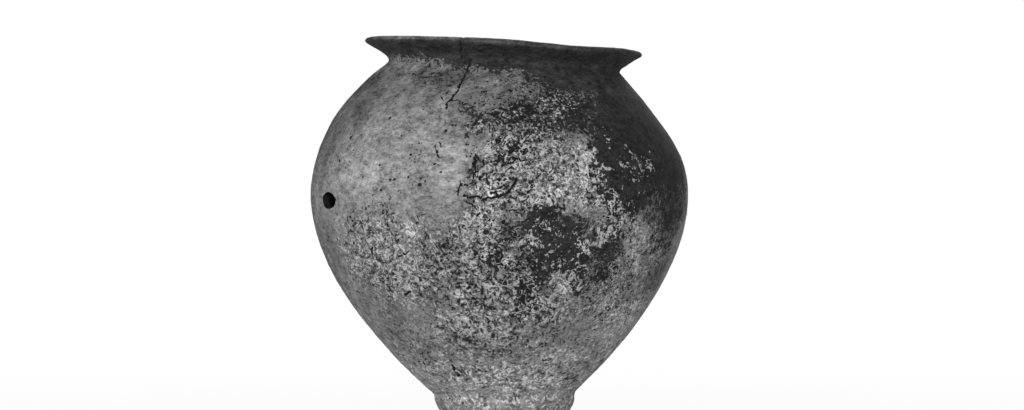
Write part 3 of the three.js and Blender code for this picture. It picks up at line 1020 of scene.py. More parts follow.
def weather_and_painted_light(surface, ladder, sizes):
    """Everything that happened to the surface, with the painted light and shade in its tone: how far
    each point is lifted, in millimetres, and the fields that the clay material reads. Flake is the order
    in which the ground wore away: the lowest share of it is hollow, the highest share keeps its crust."""
    at = surface.seed_places
    outside = surface.outside
    coarse = mixed(at, UNEVENNESS)
    fine = mixed(at, FINE)
    stray = wander(at, STRAY)
    flake = mixed(at + wander(at, WARP, 3), FLAKE_GROUND) + mixed(at, FLAKE_PATCHES)
    flake = evened(flake + FLAKES_BY_UNEVENNESS * coarse)

    azimuth = (surface.azimuth + 180) % 360 - 180
    border = np.interp(azimuth, *zip(*COLLAR_SOOT)) + BORDER_WANDER * stray[:, 1]
    above = surface.height - border
    collar = np.where(outside, smoothstep(*COLLAR_EDGE, above), INSIDE_SOOT)
    soot = cover(surface, ladder, SOOT, stray) * outside
    soot = np.clip(1 - (1 - soot) * (1 - collar), 0, 1)
    coat = soot ** SOOT_GATHERING

    clumps = CLUMPING * mixed(at, CLUMPS)
    crust = cover(surface, ladder, CRUST, stray) * (1 + clumps)
    flecks = [(*fleck, FLECK_EDGE, FLECK_SHARE) for fleck in FLECKS]
    crust = np.maximum(crust, cover(surface, ladder, flecks, wander(at, FRAY)))
    crust = np.where(outside, crust, INSIDE_CRUST)
    crust = np.clip(crust, 0, 1) * (1 - collar)
    hollow = HOLLOWS_EVERYWHERE + cover(surface, ladder, HOLLOWS, stray) * outside * (1 - clumps)
    hollow = np.clip(hollow, 0, 1) * (1 - COLLAR_FILLS * collar)
    # The tone takes painted light low down and painted shade on the left edge and the shoulder, with the
    # fired tones
    tone = 1 + cover(surface, ladder, LIGHTER_AND_PAINTED_LIGHT, stray) - cover(surface, ladder, DARKER_AND_PAINTED_SHADE, stray)
    tone = np.where(outside, tone + mixed(at, PATCHY_TONE), INSIDE_TONE)
    smoke = SMOKE * smoothstep(*SMOKE_EDGE, above) * outside
    # Smoke darkens the neck; the collar is lifted as painted light where its flare faces down into
    # shade, and the lip's upper edge as painted light where light from above would catch it
    tone = tone * (1 - smoke) * (1 + COLLAR_PAINTED_LIGHT * collar * outside)
    tone = tone * (1 + LIP_PAINTED_LIGHT_GAIN * cover(surface, ladder, RUBBED_AND_PAINTED_LIP_LIGHT))
    haze = (1 - HAZE * soot) * (1 - BARE * np.minimum(1, BARE_FROM_CRUST * crust))

    density = GRIT_PITS + GRIT_PITS_IN_HOLLOWS * hollow
    bowl = scattered_pits(at, GRIT_PIT_SPACING, GRIT_PIT_RADIUS, density, GRIT_PIT_SEED)
    outer_bowl = np.maximum(GRIT_PIT_DEPTH * bowl, named_pits(surface, ladder, fine))
    bowl = np.where(outside, outer_bowl, INSIDE_PIT_DEPTH * bowl)
    crack_depth, crack = cracks(surface, ladder, wander(at, SWAY), fine)

    raised = smoothstep(CRUST_EDGE[0] - crust, CRUST_EDGE[1] - crust, flake)
    sunk = 1 - smoothstep(hollow - HOLLOW_EDGE, hollow + HOLLOW_EDGE, flake)
    grain = mixed(at, RIPPLE) + (GRAIN_ON_SKIN + GRAIN_IN_HOLLOWS * hollow) * (2 * flake - 1)
    lift = sizes.unevenness / METRES * coarse + swell(surface, ladder)
    lift = lift + sizes.grain / METRES * grain
    lift = lift + sizes.crust_thickness / METRES * (raised - HOLLOW_DEPTH * sunk)
    lift = lift - PIT_DEPTH * bowl - crack_depth
    return {
        "lift": lift, "flake": flake, "soot": ground_level(coat), "crust": ground_level(crust),
        "hollow": ground_level(hollow), "haze": haze, "tone": tone, "crack": crack, "pit": bowl,
    }


def drift(height):
    """How far the axis has moved to the right at a height."""
    low = np.clip((BELLY_HEIGHT - height) / BELLY_HEIGHT, 0, 1)
    high = np.clip((height - BELLY_HEIGHT) / (NECK_HEIGHT - BELLY_HEIGHT), 0, 1)
    return FOOT_DRIFT * low ** FOOT_DRIFT_POWER + NECK_DRIFT * high ** NECK_DRIFT_POWER


def dip_share(azimuth, where, half_width, bed):
    """How much of a low place in the rim there is at an azimuth. It is whole in the middle, over
    the share bed of its half width."""
    apart = np.abs((azimuth - where + 180) % 360 - 180) / half_width
    return 1 - smoothstep(bed, 1, apart)


def sag(places):
    """Leans the mouth and lets the axis drift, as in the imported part, with the low spot of the
    rim, its chips and the foot's small offset, which only this finer surface has."""
    x, y, z = places.T
    azimuth = np.degrees(np.arctan2(x, -y))
    lean = math.tan(math.radians(MOUTH_LEAN)) * smoothstep(BELLY_HEIGHT, BELLY_HEIGHT + LEAN_SPAN, z)
    dip = RIM_DIP * dip_share(azimuth, RIM_DIP_AT, RIM_DIP_HALF, 0)
    dip = dip * smoothstep(RIM_DIP_FROM, RIM_DIP_FULL, z)
    chip = sum(depth * dip_share(azimuth, where, half, CHIP_BED) for where, half, depth in LIP_CHIPS)
    lip = NECK_HEIGHT + FLARE_RISE
    chip = chip * smoothstep(lip + CHIP_FROM, lip + LIP_EDGE, z)
    shift = FOOT_SHIFT * (1 - smoothstep(FOOT_SHIFT_FULL, FOOT_SHIFT_FROM, z))
    return np.stack([x + drift(z) + shift, y, z - lean * x - dip - chip], axis=1)


# Building the skin

skin = {}


def make_skin(sizes):
    """Works out the whole skin, and keeps it for every piece while the sizes stay the same."""
    settings = {name: getattr(sizes, name) for name in UrnSizes.__annotations__}
    if skin.get("settings") == settings:
        return
    rings, marks = make_rings(sizes)
    columns = [r.columns for r in rings]
    at = np.array([r.at for r in rings])
    outer = slice(0, marks["crest"] + 1)
    climb = lengths(at[outer])
    ground = int(np.argmax(at[outer][:, 0] >= UNDER_RADIUS + FOOT_TREAD))
    climb = climb - climb[ground]
    heights = at[outer][ground:, 1] + np.arange(len(climb) - ground) * TINY_STEP
    heights = np.maximum.accumulate(heights)

    def ladder(height):
        return float(np.interp(height, heights, climb[ground:]))

    def spread(values):
        return np.repeat(values, columns, axis=0)

    place = np.full(len(rings), NOWHERE)
    place[outer] = climb
    surface = Surface(
        np.concatenate([np.arange(c) * 360 / c for c in columns]),
        spread(at), spread(ring_normals(at)), spread(place), spread([r.outside for r in rings]),
    )
    skin.update({
        "rings": rings, "marks": marks, "starts": np.cumsum([0, *columns]), "ladder": ladder,
        "climb": climb, "at": at,
    })
    skin["points"] = finish_points(surface, ladder, sizes)
    skin["bands"] = [band(ring_ids(i), ring_ids(i + 1)) for i in range(len(rings) - 1)]
    pierce(sizes)
    skin["normals"] = point_normals(skin["points"]["co"], np.vstack(skin["bands"] + [skin["patch"]]))
    skin["settings"] = settings


def finish_points(surface, ladder, sizes):
    """The skin's points in place, with what the clay material reads at each."""
    wear_and_light = weather_and_painted_light(surface, ladder, sizes)
    rise = smoothstep(0, GROUND_CALM_HEIGHT, surface.height)
    floor_part = ~surface.outside & (surface.height <= FLOOR_THICKNESS + ROUNDING)
    lift = np.where(floor_part, FLOOR_CALM * wear_and_light["lift"], wear_and_light["lift"])
    lift = np.where(surface.outside, lift * (GROUND_CALM + (1 - GROUND_CALM) * rise), lift)
    radius = surface.radius + surface.out_radius * lift
    height = np.maximum(surface.height + surface.out_height * lift, 0)
    co = sag(around(surface.turn, radius, height))
    return {"co": co, **{name: wear_and_light[name] for name in FIELDS}}


def ring_ids(i):
    """Point numbers of one ring of the skin."""
    start = skin["starts"][i]
    return np.arange(start, start + skin["rings"][i].columns)


def band(low, high):
    """Faces between two rings, of which one may have a whole number of times more points. The
    faces look outwards where the first ring lies below the second."""
    if len(low) == len(high):
        return np.stack([low, np.roll(low, -1), np.roll(high, -1), high], axis=1)
    many, few = (low, high) if len(low) > len(high) else (high, low)
    ratio = len(many) // len(few)
    middle = np.repeat(few, ratio)
    nearest = np.roll(middle, -(ratio // 2))
    ahead = np.roll(many, -1)
    fan = np.stack([many, ahead, nearest, nearest], axis=1)
    steps = np.nonzero(nearest != np.roll(nearest, -1))[0]
    wedge = np.stack([ahead[steps], np.roll(nearest, -1)[steps], nearest[steps], nearest[steps]], axis=1)
    faces = np.vstack([fan, wedge])
    return faces if many is low else faces[:, [1, 0, 2, 3]]


def triangles(faces):
    """Faces as triangles. A face whose last two points are the same is one already."""
    first = faces[:, [0, 1, 2]]
    second = faces[faces[:, 2] != faces[:, 3]][:, [0, 2, 3]]
    return np.vstack([first, second])


def point_normals(co, faces):
    """Outward directions at the points of a mesh, weighted by the size of the faces there."""
    corners = triangles(faces)
    a, b, c = (co[corners[:, i]] for i in range(3))
    across = np.cross(b - a, c - a)
    total = np.zeros_like(co)
    for axis in range(3):
        weight = across[:, axis]
        for i in range(3):
            total[:, axis] += np.bincount(corners[:, i], weight, len(co))
    size = np.linalg.norm(total, axis=1, keepdims=True)
    return total / np.maximum(size, NO_LENGTH)


# Soul hole: the grid is opened round it and filled with rings that run into its edge

# The hole is wider and lower than the part's, and a little further towards the front
HOLE_WIDTH = 31.0
HOLE_HEIGHT = 16.2
HOLE_SHIFT = 6.4

# Half width and half height of the opening in the grid, on the outer and on the inner face
HOLE_FRAME = (26.0, 17.0)
HOLE_INNER_FRAME = (31.0, 20.0)

# Rings between that opening and the edge, and depths of the rings beyond it, as shares of the wall
HOLE_RINGS = 9
HOLE_DEPTHS = (0.06, 0.16, 0.32, 0.5, 0.7, 0.88, 1.0)

# How uneven the oval is: its waves, their least and greatest height as a share of its size, and
# the seeds of its outer and inner edge
HOLE_WAVES = range(2, 9)
HOLE_WAVE_HEIGHTS = (0.006, 0.02)
HOLE_SEEDS = (5, 6)

# The broken clay inside it is bare and gets soot's black and a lower tone: painted shade for the hole,
# and soot
TUNNEL_SOOT_AND_SHADE = 1.3
TUNNEL_SHADE_TONE = 0.7


def block(low_ring, high_ring, first, last):
    """Point numbers round the edge of a block of the grid, anticlockwise from its low left."""
    def at(ring, column):
        return skin["starts"][ring] + column % skin["rings"][ring].columns

    low = [at(low_ring, c) for c in range(first, last)]
    right = [at(r, last) for r in range(low_ring, high_ring)]
    high = [at(high_ring, c) for c in range(last, first, -1)]
    left = [at(r, first) for r in range(high_ring, low_ring, -1)]
    return np.array(low + right + high + left)


def offsets(loop, up, degree):
    """How far points of the grid lie from the hole's centre, across and along the wall. up holds
    the second for every ring."""
    ring = np.searchsorted(skin["starts"], loop, side="right") - 1
    columns = np.array([skin["rings"][i].columns for i in ring])
    azimuth = (loop - skin["starts"][ring]) * 360 / columns
    across = ((azimuth - SOUL_HOLE_ANGLE + 180) % 360 - 180) * degree
    return np.stack([across, up[ring]], axis=1)


def hole_outline(angle, width, height, seed):
    """An uneven oval, broken out rather than cut."""
    rng = np.random.default_rng(seed)
    wave = np.ones_like(angle)
    for k in HOLE_WAVES:
        wave += rng.uniform(*HOLE_WAVE_HEIGHTS) * np.sin(k * angle + rng.uniform(0, 2 * np.pi))
    x = width / 2 * np.cos(angle) * wave + HOLE_SHIFT
    return np.stack([x, height / 2 * np.sin(angle) * wave], axis=1)


def add_points(azimuth, along, depth, outside, sizes):
    """Adds points of the wall to the skin and returns their numbers."""
    step = wall_points(along + PROBE, depth) - wall_points(along - PROBE, depth)
    step /= np.linalg.norm(step, axis=1, keepdims=True)
    out = np.stack([step[:, 1], -step[:, 0]], axis=1) * (1 if outside else -1)
    place = along + skin["climb_at_wall"] if outside else np.full(len(along), NOWHERE)
    surface = Surface(
        azimuth, wall_points(along, depth), out, place, np.full(len(along), outside),
    )
    fresh = finish_points(surface, skin["ladder"], sizes)
    start = len(skin["points"]["co"])
    for name, values in fresh.items():
        skin["points"][name] = np.concatenate([skin["points"][name], values])
    return np.arange(start, start + len(azimuth))


def by_angle(loop, flat):
    """The points of a loop round the hole and their angles, in order of angle."""
    angle = np.arctan2(flat[:, 1], flat[:, 0]) % (2 * np.pi)
    order = np.argsort(angle)
    return loop[order], angle[order]


def zip_loops(outer, outer_angle, inner, inner_angle):
    """Triangles between two loops round the same centre, in order of angle."""
    faces = []
    i = j = 0
    outer_angle = np.append(outer_angle, outer_angle[0] + 2 * np.pi)
    inner_angle = np.append(inner_angle, inner_angle[0] + 2 * np.pi)
    while i < len(outer) or j < len(inner):
        a, b = outer[i % len(outer)], inner[j % len(inner)]
        if j >= len(inner) or (i < len(outer) and outer_angle[i + 1] <= inner_angle[j + 1]):
            i += 1
            faces.append((outer[i % len(outer)], a, b, b))
        else:
            j += 1
            faces.append((inner[j % len(inner)], a, b, b))
    return np.array(faces)


def pierce(sizes):
    """Opens the soul hole in the belly, from the outer face through to the inner one."""
    marks = skin["marks"]
    centre = along_at_height(BELLY_HEIGHT - SOUL_HOLE_DROP)
    degree = math.radians(1) * wall_points(centre)[0, 0]
    thickness = float(wall_thickness(centre))
    skin["climb_at_wall"] = skin["climb"][marks["outer", 1]] - seams()[1]
    outer_up = skin["climb"] - skin["climb_at_wall"] - centre
    inner_up = skin["at"][:, 1] - wall_points(centre, thickness)[0, 1]
    loops = []
    for up, start, end, (half_width, half_height) in (
        (outer_up, 0, len(outer_up), HOLE_FRAME),
        (inner_up, marks["inner", COLLAR_SEAM], marks["heel"], HOLE_INNER_FRAME),
    ):
        span = start + np.nonzero(np.abs(up[start:end]) < half_height)[0]
        low, high = span[0], span[-1]
        count = skin["rings"][low].columns
        first = math.floor((SOUL_HOLE_ANGLE - half_width / degree) % 360 / 360 * count)
        last = math.ceil((SOUL_HOLE_ANGLE + half_width / degree) % 360 / 360 * count)
        for i in range(low, high):
            skin["bands"][i] = np.delete(skin["bands"][i], slice(first, last), axis=0)
        loop = block(low, high, first, last)
        loops.append((loop, offsets(loop, up, degree)))

    (loop, frame_edge), inner = loops
    angle = np.unwrap(np.arctan2(frame_edge[:, 1] / HOLE_FRAME[1], frame_edge[:, 0] / HOLE_FRAME[0]))
    inner_width = SOUL_HOLE_WIDTH * SOUL_HOLE_INNER_HEIGHT / SOUL_HOLE_HEIGHT
    edge = hole_outline(angle, HOLE_WIDTH, HOLE_HEIGHT, HOLE_SEEDS[0])
    inner_edge = hole_outline(angle, inner_width, SOUL_HOLE_INNER_HEIGHT, HOLE_SEEDS[1])
    steps = [(frame_edge, edge, (i + 1) / HOLE_RINGS, 0.0) for i in range(HOLE_RINGS)]
    steps += [(edge, inner_edge, share, share) for share in HOLE_DEPTHS]
    faces = []
    for start, end, share, depth in steps:
        x, y = (start + (end - start) * share).T
        fresh = add_points(
            SOUL_HOLE_ANGLE + x / degree, centre + y, thickness * depth, depth < 0.5, sizes,
        )
        # Painted shade and soot inside the hole: soot's black and a lower tone
        if depth > 0:
            skin["points"]["soot"][fresh] = TUNNEL_SOOT_AND_SHADE
            skin["points"]["tone"][fresh] = TUNNEL_SHADE_TONE
        faces.append(band(loop, fresh))
        loop = fresh
    faces.append(zip_loops(*by_angle(*inner), *by_angle(loop, inner_edge)))
    skin["patch"] = np.vstack(faces)


# Pieces

def turned(at, columns):
    """A ring of points in a joint, from its point of the section."""
    turn = np.arange(columns) * 2 * np.pi / columns
    return sag(around(turn, at[0], np.full(columns, at[1])))


def joint_point(low, high):
    """A point half way along the joint between two rings of the skin, half the film of slip aside."""
    a, b = skin["rings"][low].at, skin["rings"][high].at
    way = (b - a) / np.linalg.norm(b - a)
    return (a + b) / 2 + 0.5 * JOINT_GAP * point(-way[1], way[0])


def cap(ring, down):
    """Closes the middle of the underside or the floor with faces across its innermost ring."""
    ids = ring_ids(ring)
    half = len(ids) // 2
    left, right = ids[:half], ids[:half - 1:-1]
    faces = np.stack([left[:-1], left[1:], right[1:], right[:-1]], axis=1)
    return faces[:, [1, 0, 3, 2]] if down else faces


def make_piece(node, runs, joints, extra_faces=None):
    """Makes the piece that stands for a node. runs are spans of the skin's rings, in order round
    the section, and joints[i] holds the points of the section between the end of run i and the
    start of the next. It is None where caps close the runs instead."""
    faces = []
    places = [skin["points"]["co"]]
    count = len(places[0])
    for i, (start, end) in enumerate(runs):
        faces.extend(skin["bands"][start:end])
        if joints[i] is None:
            continue
        loop = ring_ids(end)
        following = ring_ids(runs[(i + 1) % len(runs)][0])
        columns = min(len(loop), len(following))
        for at in joints[i]:
            places.append(turned(at, columns))
            fresh = np.arange(count, count + columns)
            count += columns
            faces.append(band(loop, fresh))
            loop = fresh
        faces.append(band(loop, following))
    if extra_faces is not None:
        faces.append(extra_faces)
    piece = make_object(f"clay_{node}", np.vstack(faces), np.vstack(places))
    piece.data.materials.append(clay_material())
    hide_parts(node)
    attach(piece, "root")


def make_object(name, faces, places):
    """A mesh object of those faces, with the skin's directions and fields at the skin's points."""
    points = skin["points"]
    used, local = np.unique(faces, return_inverse=True)
    faces = local.reshape(faces.shape)
    co = places[used] * METRES
    on_skin = used < len(points["co"])
    normals = point_normals(co, faces)
    normals[on_skin] = skin["normals"][used[on_skin]]

    mesh = bpy.data.meshes.new(name)
    square = faces[:, 2] != faces[:, 3]
    always = np.ones_like(square)
    corners = faces[np.stack([always, always, always, square], axis=1)]
    sides = np.where(square, 4, 3)
    starts = np.cumsum(sides) - sides
    mesh.vertices.add(len(co))
    mesh.vertices.foreach_set("co", co.astype(np.float32).ravel())
    mesh.loops.add(len(corners))
    mesh.loops.foreach_set("vertex_index", corners.astype(np.int32))
    mesh.polygons.add(len(faces))
    mesh.polygons.foreach_set("loop_start", starts.astype(np.int32))
    mesh.update(calc_edges=True)
    mesh.polygons.foreach_set("use_smooth", np.ones(len(faces), bool))
    for label, in_joint in FIELDS.items():
        values = np.full(len(co), in_joint, np.float32)
        values[on_skin] = points[label][used[on_skin]]
        attribute = mesh.attributes.new(label, "FLOAT", "POINT")
        attribute.data.foreach_set("value", values)
    mesh.normals_split_custom_set_from_vertices(normals.tolist())
    if mesh.validate():
        raise RuntimeError(f"{name} has faces that Blender had to mend")
    piece = bpy.data.objects.new(name, mesh)
    bpy.context.scene.collection.objects.link(piece)
    return piece


def strap_piece(node, seam):
    """A strap of the wall, from a numbered seam up to the next one."""
    marks = skin["marks"]
    low, high = marks["outer", seam], marks["outer", seam + 1]
    top, bottom = marks["inner", seam + 1], marks["inner", seam]
    make_piece(
        node, [(low, high), (top, bottom)],
        [[joint_point(high, top)], [joint_point(bottom, low)]],
        skin["patch"] if node == "belly_wall" else None,
    )


# Materials

def add_node(tree, kind, inputs=None, output=None, **settings):
    """Adds a node with its settings. inputs holds values and other nodes' outputs, by the
    identifier of the socket that takes them. Returns the named output, or else the first."""
    node = tree.nodes.new(kind)
    for name, value in settings.items():
        setattr(node, name, value)
    sockets = {socket.identifier: socket for socket in node.inputs}
    for name, value in (inputs or {}).items():
        if isinstance(value, bpy.types.NodeSocket):
            tree.links.new(value, sockets[name])
        else:
            sockets[name].default_value = value
    return next((s for s in node.outputs if output in (None, s.identifier)), None)


def new_tree(owner):
    """The empty node tree of a material or world."""
    owner.use_nodes = True
    owner.node_tree.nodes.clear()
    return owner.node_tree


def noise_sum(tree, place, layers, swirl=0.0):
    """Layers of noise added up. Each is (size in millimetres, weight, how many finer octaves)."""
    total = 0.0
    for size, weight, detail in layers:
        inputs = {
            "Vector": place, "Scale": 1 / (size * METRES), "Detail": detail,
            "Roughness": OCTAVE_WEIGHT, "Distortion": swirl,
        }
        layer = add_node(tree, "ShaderNodeTexNoise", inputs)
        inputs = {"Value": layer, "Value_001": weight, "Value_002": total}
        total = add_node(tree, "ShaderNodeMath", inputs, operation="MULTIPLY_ADD")
    return total


# Layers of (size in millimetres, weight, finer octaves): grit of coarse sand, the flakes that the
# skin broke into, and the marks of wiping with a wet hand, which are broad tones and short level
# streaks. FLAKE_STEPS is how many steps the flakes' noise is cut into, WIPED_RANGE how far from
# its middle the wiped tone goes, GROUND_WEIGHTS what counts in the order in which the ground wore
# away, CRACK_RAGGEDNESS how far grit frays a crack, and OCTAVE_WEIGHT the weight of each finer
# octave against the one before.
GRIT = ((4.0, 0.7, 1.0), (1.8, 0.3, 0.5))
GRIT_SWIRL = 1.2
FLAKES = ((10.0, 1.0, 1.5),)
FLAKE_SWIRL = 1.5
FLAKE_STEPS = 3.2
WIPED = ((6.0, 0.36, 2.0), (2.6, 0.3, 1.5), (16.0, 0.34, 2.0))
WIPING = (1.0, 1.0, 1.6)
WIPED_RANGE = 0.14
GROUND_WEIGHTS = {"flake": 0.22, "edge": 0.65, "grit": 1.8}
CRACK_RAGGEDNESS = 3.4
OCTAVE_WEIGHT = 0.6

# How far each finish's tone goes to either side of its colour, as a share of it
TONE_SPREADS = (("clay", 0.68), ("soot", 0.95), ("crust", 0.45))

# Dry, unglazed clay: matt all over, with little gloss, and grit that stands up in millimetres
LEAST_ROUGHNESS = 0.84
MOST_ROUGHNESS = 0.97
ROUGHNESS_RANGE = 0.2
GLOSS = 0.22
GRIT_RISE = 0.8
BUMP_STRENGTH = 0.7


def clay_material():
    """Smoke-fired earthenware, coiled, wiped smooth, fired among burning fuel and then buried.
    The eye sees a dull, mid-grey skin with faint wiping marks, black clouds with ragged edges, pale
    crust that stands up a little, and dark pits and cracks. Painted shadow darkens the gaps beside the
    flakes, and the tone carries painted light and shade."""
    name = "smoke-fired earthenware"
    if name in bpy.data.materials:
        return bpy.data.materials[name]
    colours = bpy.context.scene.urn_colours
    material = bpy.data.materials.new(name)
    tree = new_tree(material)
    place = add_node(tree, "ShaderNodeTexCoord", output="Object")
    fields = {f: add_node(tree, "ShaderNodeAttribute", output="Fac", attribute_name=f) for f in FIELDS}
    grit = noise_sum(tree, place, GRIT, GRIT_SWIRL)
    inputs = {"Vector": place, "Vector_001": WIPING}
    streaked = add_node(tree, "ShaderNodeVectorMath", inputs, operation="MULTIPLY")
    wiped = noise_sum(tree, streaked, WIPED)
    inputs = {"Value": wiped, "From Min": 0.5 - WIPED_RANGE, "From Max": 0.5 + WIPED_RANGE}
    shade = add_node(tree, "ShaderNodeMapRange", inputs)
    tones = {}
    for finish, spread in TONE_SPREADS:
        middle = getattr(colours, finish)
        dark, light = ([c * share for c in middle] + [1] for share in (1 - spread, 1 + spread))
        inputs = {"Factor_Float": shade, "A_Color": dark, "B_Color": light}
        tones[finish] = add_node(tree, "ShaderNodeMix", inputs, "Result_Color", data_type="RGBA")
    tones["soil_and_shade"] = (*colours.soil_and_shade, 1)
    inputs = {"Vector": tones["clay"], "Scale": fields["haze"]}
    colour = add_node(tree, "ShaderNodeVectorMath", inputs, operation="SCALE")

    # The order in which the ground wears away, made finer than the mesh by flakes and grit. A flake is
    # high at its lip, which holds crust, and beside it lies the gap under the next one, which the
    # hollows' coat paints dark as the lip's shadow.
    flakes = noise_sum(tree, place, FLAKES, FLAKE_SWIRL)
    inputs = {"Value": flakes, "Value_001": FLAKE_STEPS}
    steps = add_node(tree, "ShaderNodeMath", inputs, operation="MULTIPLY")
    edge = add_node(tree, "ShaderNodeMath", {"Value": steps}, operation="FRACT")
    ground = 0.5 * (1 - sum(GROUND_WEIGHTS.values()))
    for level, part in ((fields["flake"], "flake"), (edge, "edge"), (grit, "grit")):
        inputs = {"Value": level, "Value_001": GROUND_WEIGHTS[part], "Value_002": ground}
        ground = add_node(tree, "ShaderNodeMath", inputs, operation="MULTIPLY_ADD")

    # How far the ground is inside the edge of each finish
    inside = {"pit": fields["pit"]}
    for finish, sign in (("soot", -1), ("crust", 1), ("hollow", -1)):
        inputs = {"Value": ground, "Value_001": sign, "Value_002": fields[finish]}
        inside[finish] = add_node(tree, "ShaderNodeMath", inputs, operation="MULTIPLY_ADD")
    inputs = {"Value": grit, "Value_001": CRACK_RAGGEDNESS, "Value_002": fields["crack"]}
    inside["crack"] = add_node(tree, "ShaderNodeMath", inputs, operation="MULTIPLY_ADD")

    # Each coat: from where to where it thickens, its tone, how much it hides, and how far it
    # stands up, in millimetres
    coats = (
        ("soot", -0.12, 0.08, "soot", 0.95, 0.0),
        ("crust", 0.93, 1.07, "crust", 0.92, 0.25),
        # The hollows' near-black is painted shadow beside each flake's lip, and soil
        ("hollow", -0.07, 0.05, "soil_and_shade", 0.9, -0.35),
        ("pit", 0.22, 0.6, "soil_and_shade", 0.96, 0.0),
        ("crack", 1.4, 1.7, "soil_and_shade", 1.0, -0.4),
    )
    inputs = {"Value": grit, "Value_001": GRIT_RISE}
    relief = add_node(tree, "ShaderNodeMath", inputs, operation="MULTIPLY")
    for coat, bare, full, finish, hiding, rise in coats:
        inputs = {"Value": inside[coat], "From Min": bare, "From Max": full, "To Max": hiding}
        share = add_node(tree, "ShaderNodeMapRange", inputs, interpolation_type="SMOOTHSTEP")
        inputs = {"Factor_Float": share, "A_Color": colour, "B_Color": tones[finish]}
        colour = add_node(tree, "ShaderNodeMix", inputs, "Result_Color", data_type="RGBA")
        inputs = {"Value": share, "Value_001": rise, "Value_002": relief}
        relief = add_node(tree, "ShaderNodeMath", inputs, operation="MULTIPLY_ADD")
    inputs = {"Vector": colour, "Scale": fields["tone"]}
    colour = add_node(tree, "ShaderNodeVectorMath", inputs, "Vector", operation="SCALE")
    inputs = {"Height": relief, "Distance": METRES, "Strength": BUMP_STRENGTH}
    bump = add_node(tree, "ShaderNodeBump", inputs)
    inputs = {
        "Value": wiped, "From Min": 0.5 - ROUGHNESS_RANGE, "From Max": 0.5 + ROUGHNESS_RANGE,
        "To Min": LEAST_ROUGHNESS, "To Max": MOST_ROUGHNESS,
    }
    roughness = add_node(tree, "ShaderNodeMapRange", inputs)
    inputs = {
        "Base Color": colour, "Roughness": roughness, "Normal": bump, "Specular IOR Level": GLOSS,
    }
    shader = add_node(tree, "ShaderNodeBsdfPrincipled", inputs)
    add_node(tree, "ShaderNodeOutputMaterial", {"Surface": shader})
    return material


# Operators

class URN_OT_floor_slab(bpy.types.Operator):
    """Patted-out slab that the pot stands on and was built up from"""

    bl_idname = "urn.floor_slab"
    bl_label = "Floor slab"
    bl_options = {"REGISTER", "UNDO"}

    def execute(self, context):
        make_skin(context.scene.urn_sizes)
        marks = skin["marks"]
        last = len(skin["rings"]) - 1
        bevel = [point(FLOOR_RADIUS, FLOOR_THICKNESS)]
        make_piece(
            "base_disc", [(0, marks["slab edge"]), (marks["heel"], last)],
            [bevel, None], np.vstack([cap(0, True), cap(last, False)]),
        )
        return {"FINISHED"}


class URN_OT_foot(bpy.types.Operator):
    """Coil pressed round the slab and smeared up the wall"""

    bl_idname = "urn.foot"
    bl_label = "Foot"
    bl_options = {"REGISTER", "UNDO"}

    def execute(self, context):
        make_skin(context.scene.urn_sizes)
        marks = skin["marks"]
        _, top = foot_side()
        joint = wall_points(np.linspace(top, 0, FOOT_JOINT_POINTS)[1:], -JOINT_GAP)
        make_piece("foot_ring", [(marks["slab edge"], marks["foot top"])], [joint])
        return {"FINISHED"}


class URN_OT_lower_wall(bpy.types.Operator):
    """Straps of clay from the foot up to the belly"""

    bl_idname = "urn.lower_wall"
    bl_label = "Lower wall"
    bl_options = {"REGISTER", "UNDO"}

    def execute(self, context):
        make_skin(context.scene.urn_sizes)
        marks = skin["marks"]
        _, top = foot_side()
        seat = point(FLOOR_RADIUS, FLOOR_THICKNESS + JOINT_GAP)
        up_the_wall = wall_points(np.linspace(0, top, FOOT_JOINT_POINTS)[1:-1])
        low, high, inner = marks["foot top"], marks["outer", 1], marks["inner", 1]
        make_piece(
            "lower_wall_1", [(low, high), (inner, marks["heel"])],
            [[joint_point(high, inner)], [seat, *up_the_wall]],
        )
        for seam in range(1, LOWER_STRAPS):
            strap_piece(f"lower_wall_{seam + 1}", seam)
        return {"FINISHED"}


class URN_OT_belly(bpy.types.Operator):
    """Widest strap, with the soul hole"""

    bl_idname = "urn.belly"
    bl_label = "Belly"
    bl_options = {"REGISTER", "UNDO"}

    def execute(self, context):
        make_skin(context.scene.urn_sizes)
        strap_piece("belly_wall", LOWER_STRAPS)
        return {"FINISHED"}


class URN_OT_shoulder(bpy.types.Operator):
    """Straps that draw the pot in to the neck"""

    bl_idname = "urn.shoulder"
    bl_label = "Shoulder"
    bl_options = {"REGISTER", "UNDO"}

    def execute(self, context):
        make_skin(context.scene.urn_sizes)
        for i in range(SHOULDER_STRAPS):
            strap_piece(f"shoulder_wall_{i + 1}", LOWER_STRAPS + 1 + i)
        return {"FINISHED"}


class URN_OT_collar(bpy.types.Operator):
    """Neck and everted lip, black with soot"""

    bl_idname = "urn.collar"
    bl_label = "Collar"
    bl_options = {"REGISTER", "UNDO"}

    def execute(self, context):
        make_skin(context.scene.urn_sizes)
        marks = skin["marks"]
        low, bottom = marks["outer", COLLAR_SEAM], marks["inner", COLLAR_SEAM]
        make_piece("rim_collar", [(low, bottom)], [[joint_point(bottom, low)]])
        return {"FINISHED"}


# Stage

# Metres, but millimetres for the lens and its sensor. Up to the near distance the camera sees the
# paper as white by the share PAPER_GLOW, so that the jar's shadow on it is faint, and from the
# far distance on as all white.
CAMERA_AWAY = 4.0
CAMERA_SIDE = 0.0126
CAMERA_HEIGHT = 0.212
CAMERA_LENS = 140.6
CAMERA_SENSOR = 36.0
FLOOR_HALF = 60.0
PAPER_NEAR = 0.3
PAPER_FAR = 1.2
PAPER_GLOW = 0.94

# Lamps: name, azimuth, elevation and strength. The weaker one lights the jar's back.
LAMPS = (("key", -16.0, 9.0, 2.1), ("back", 168.0, 24.0, 1.2))
LAMP_SOFTNESS = 28.0
AMBIENT = 0.36
WHITE = (1, 1, 1, 1)


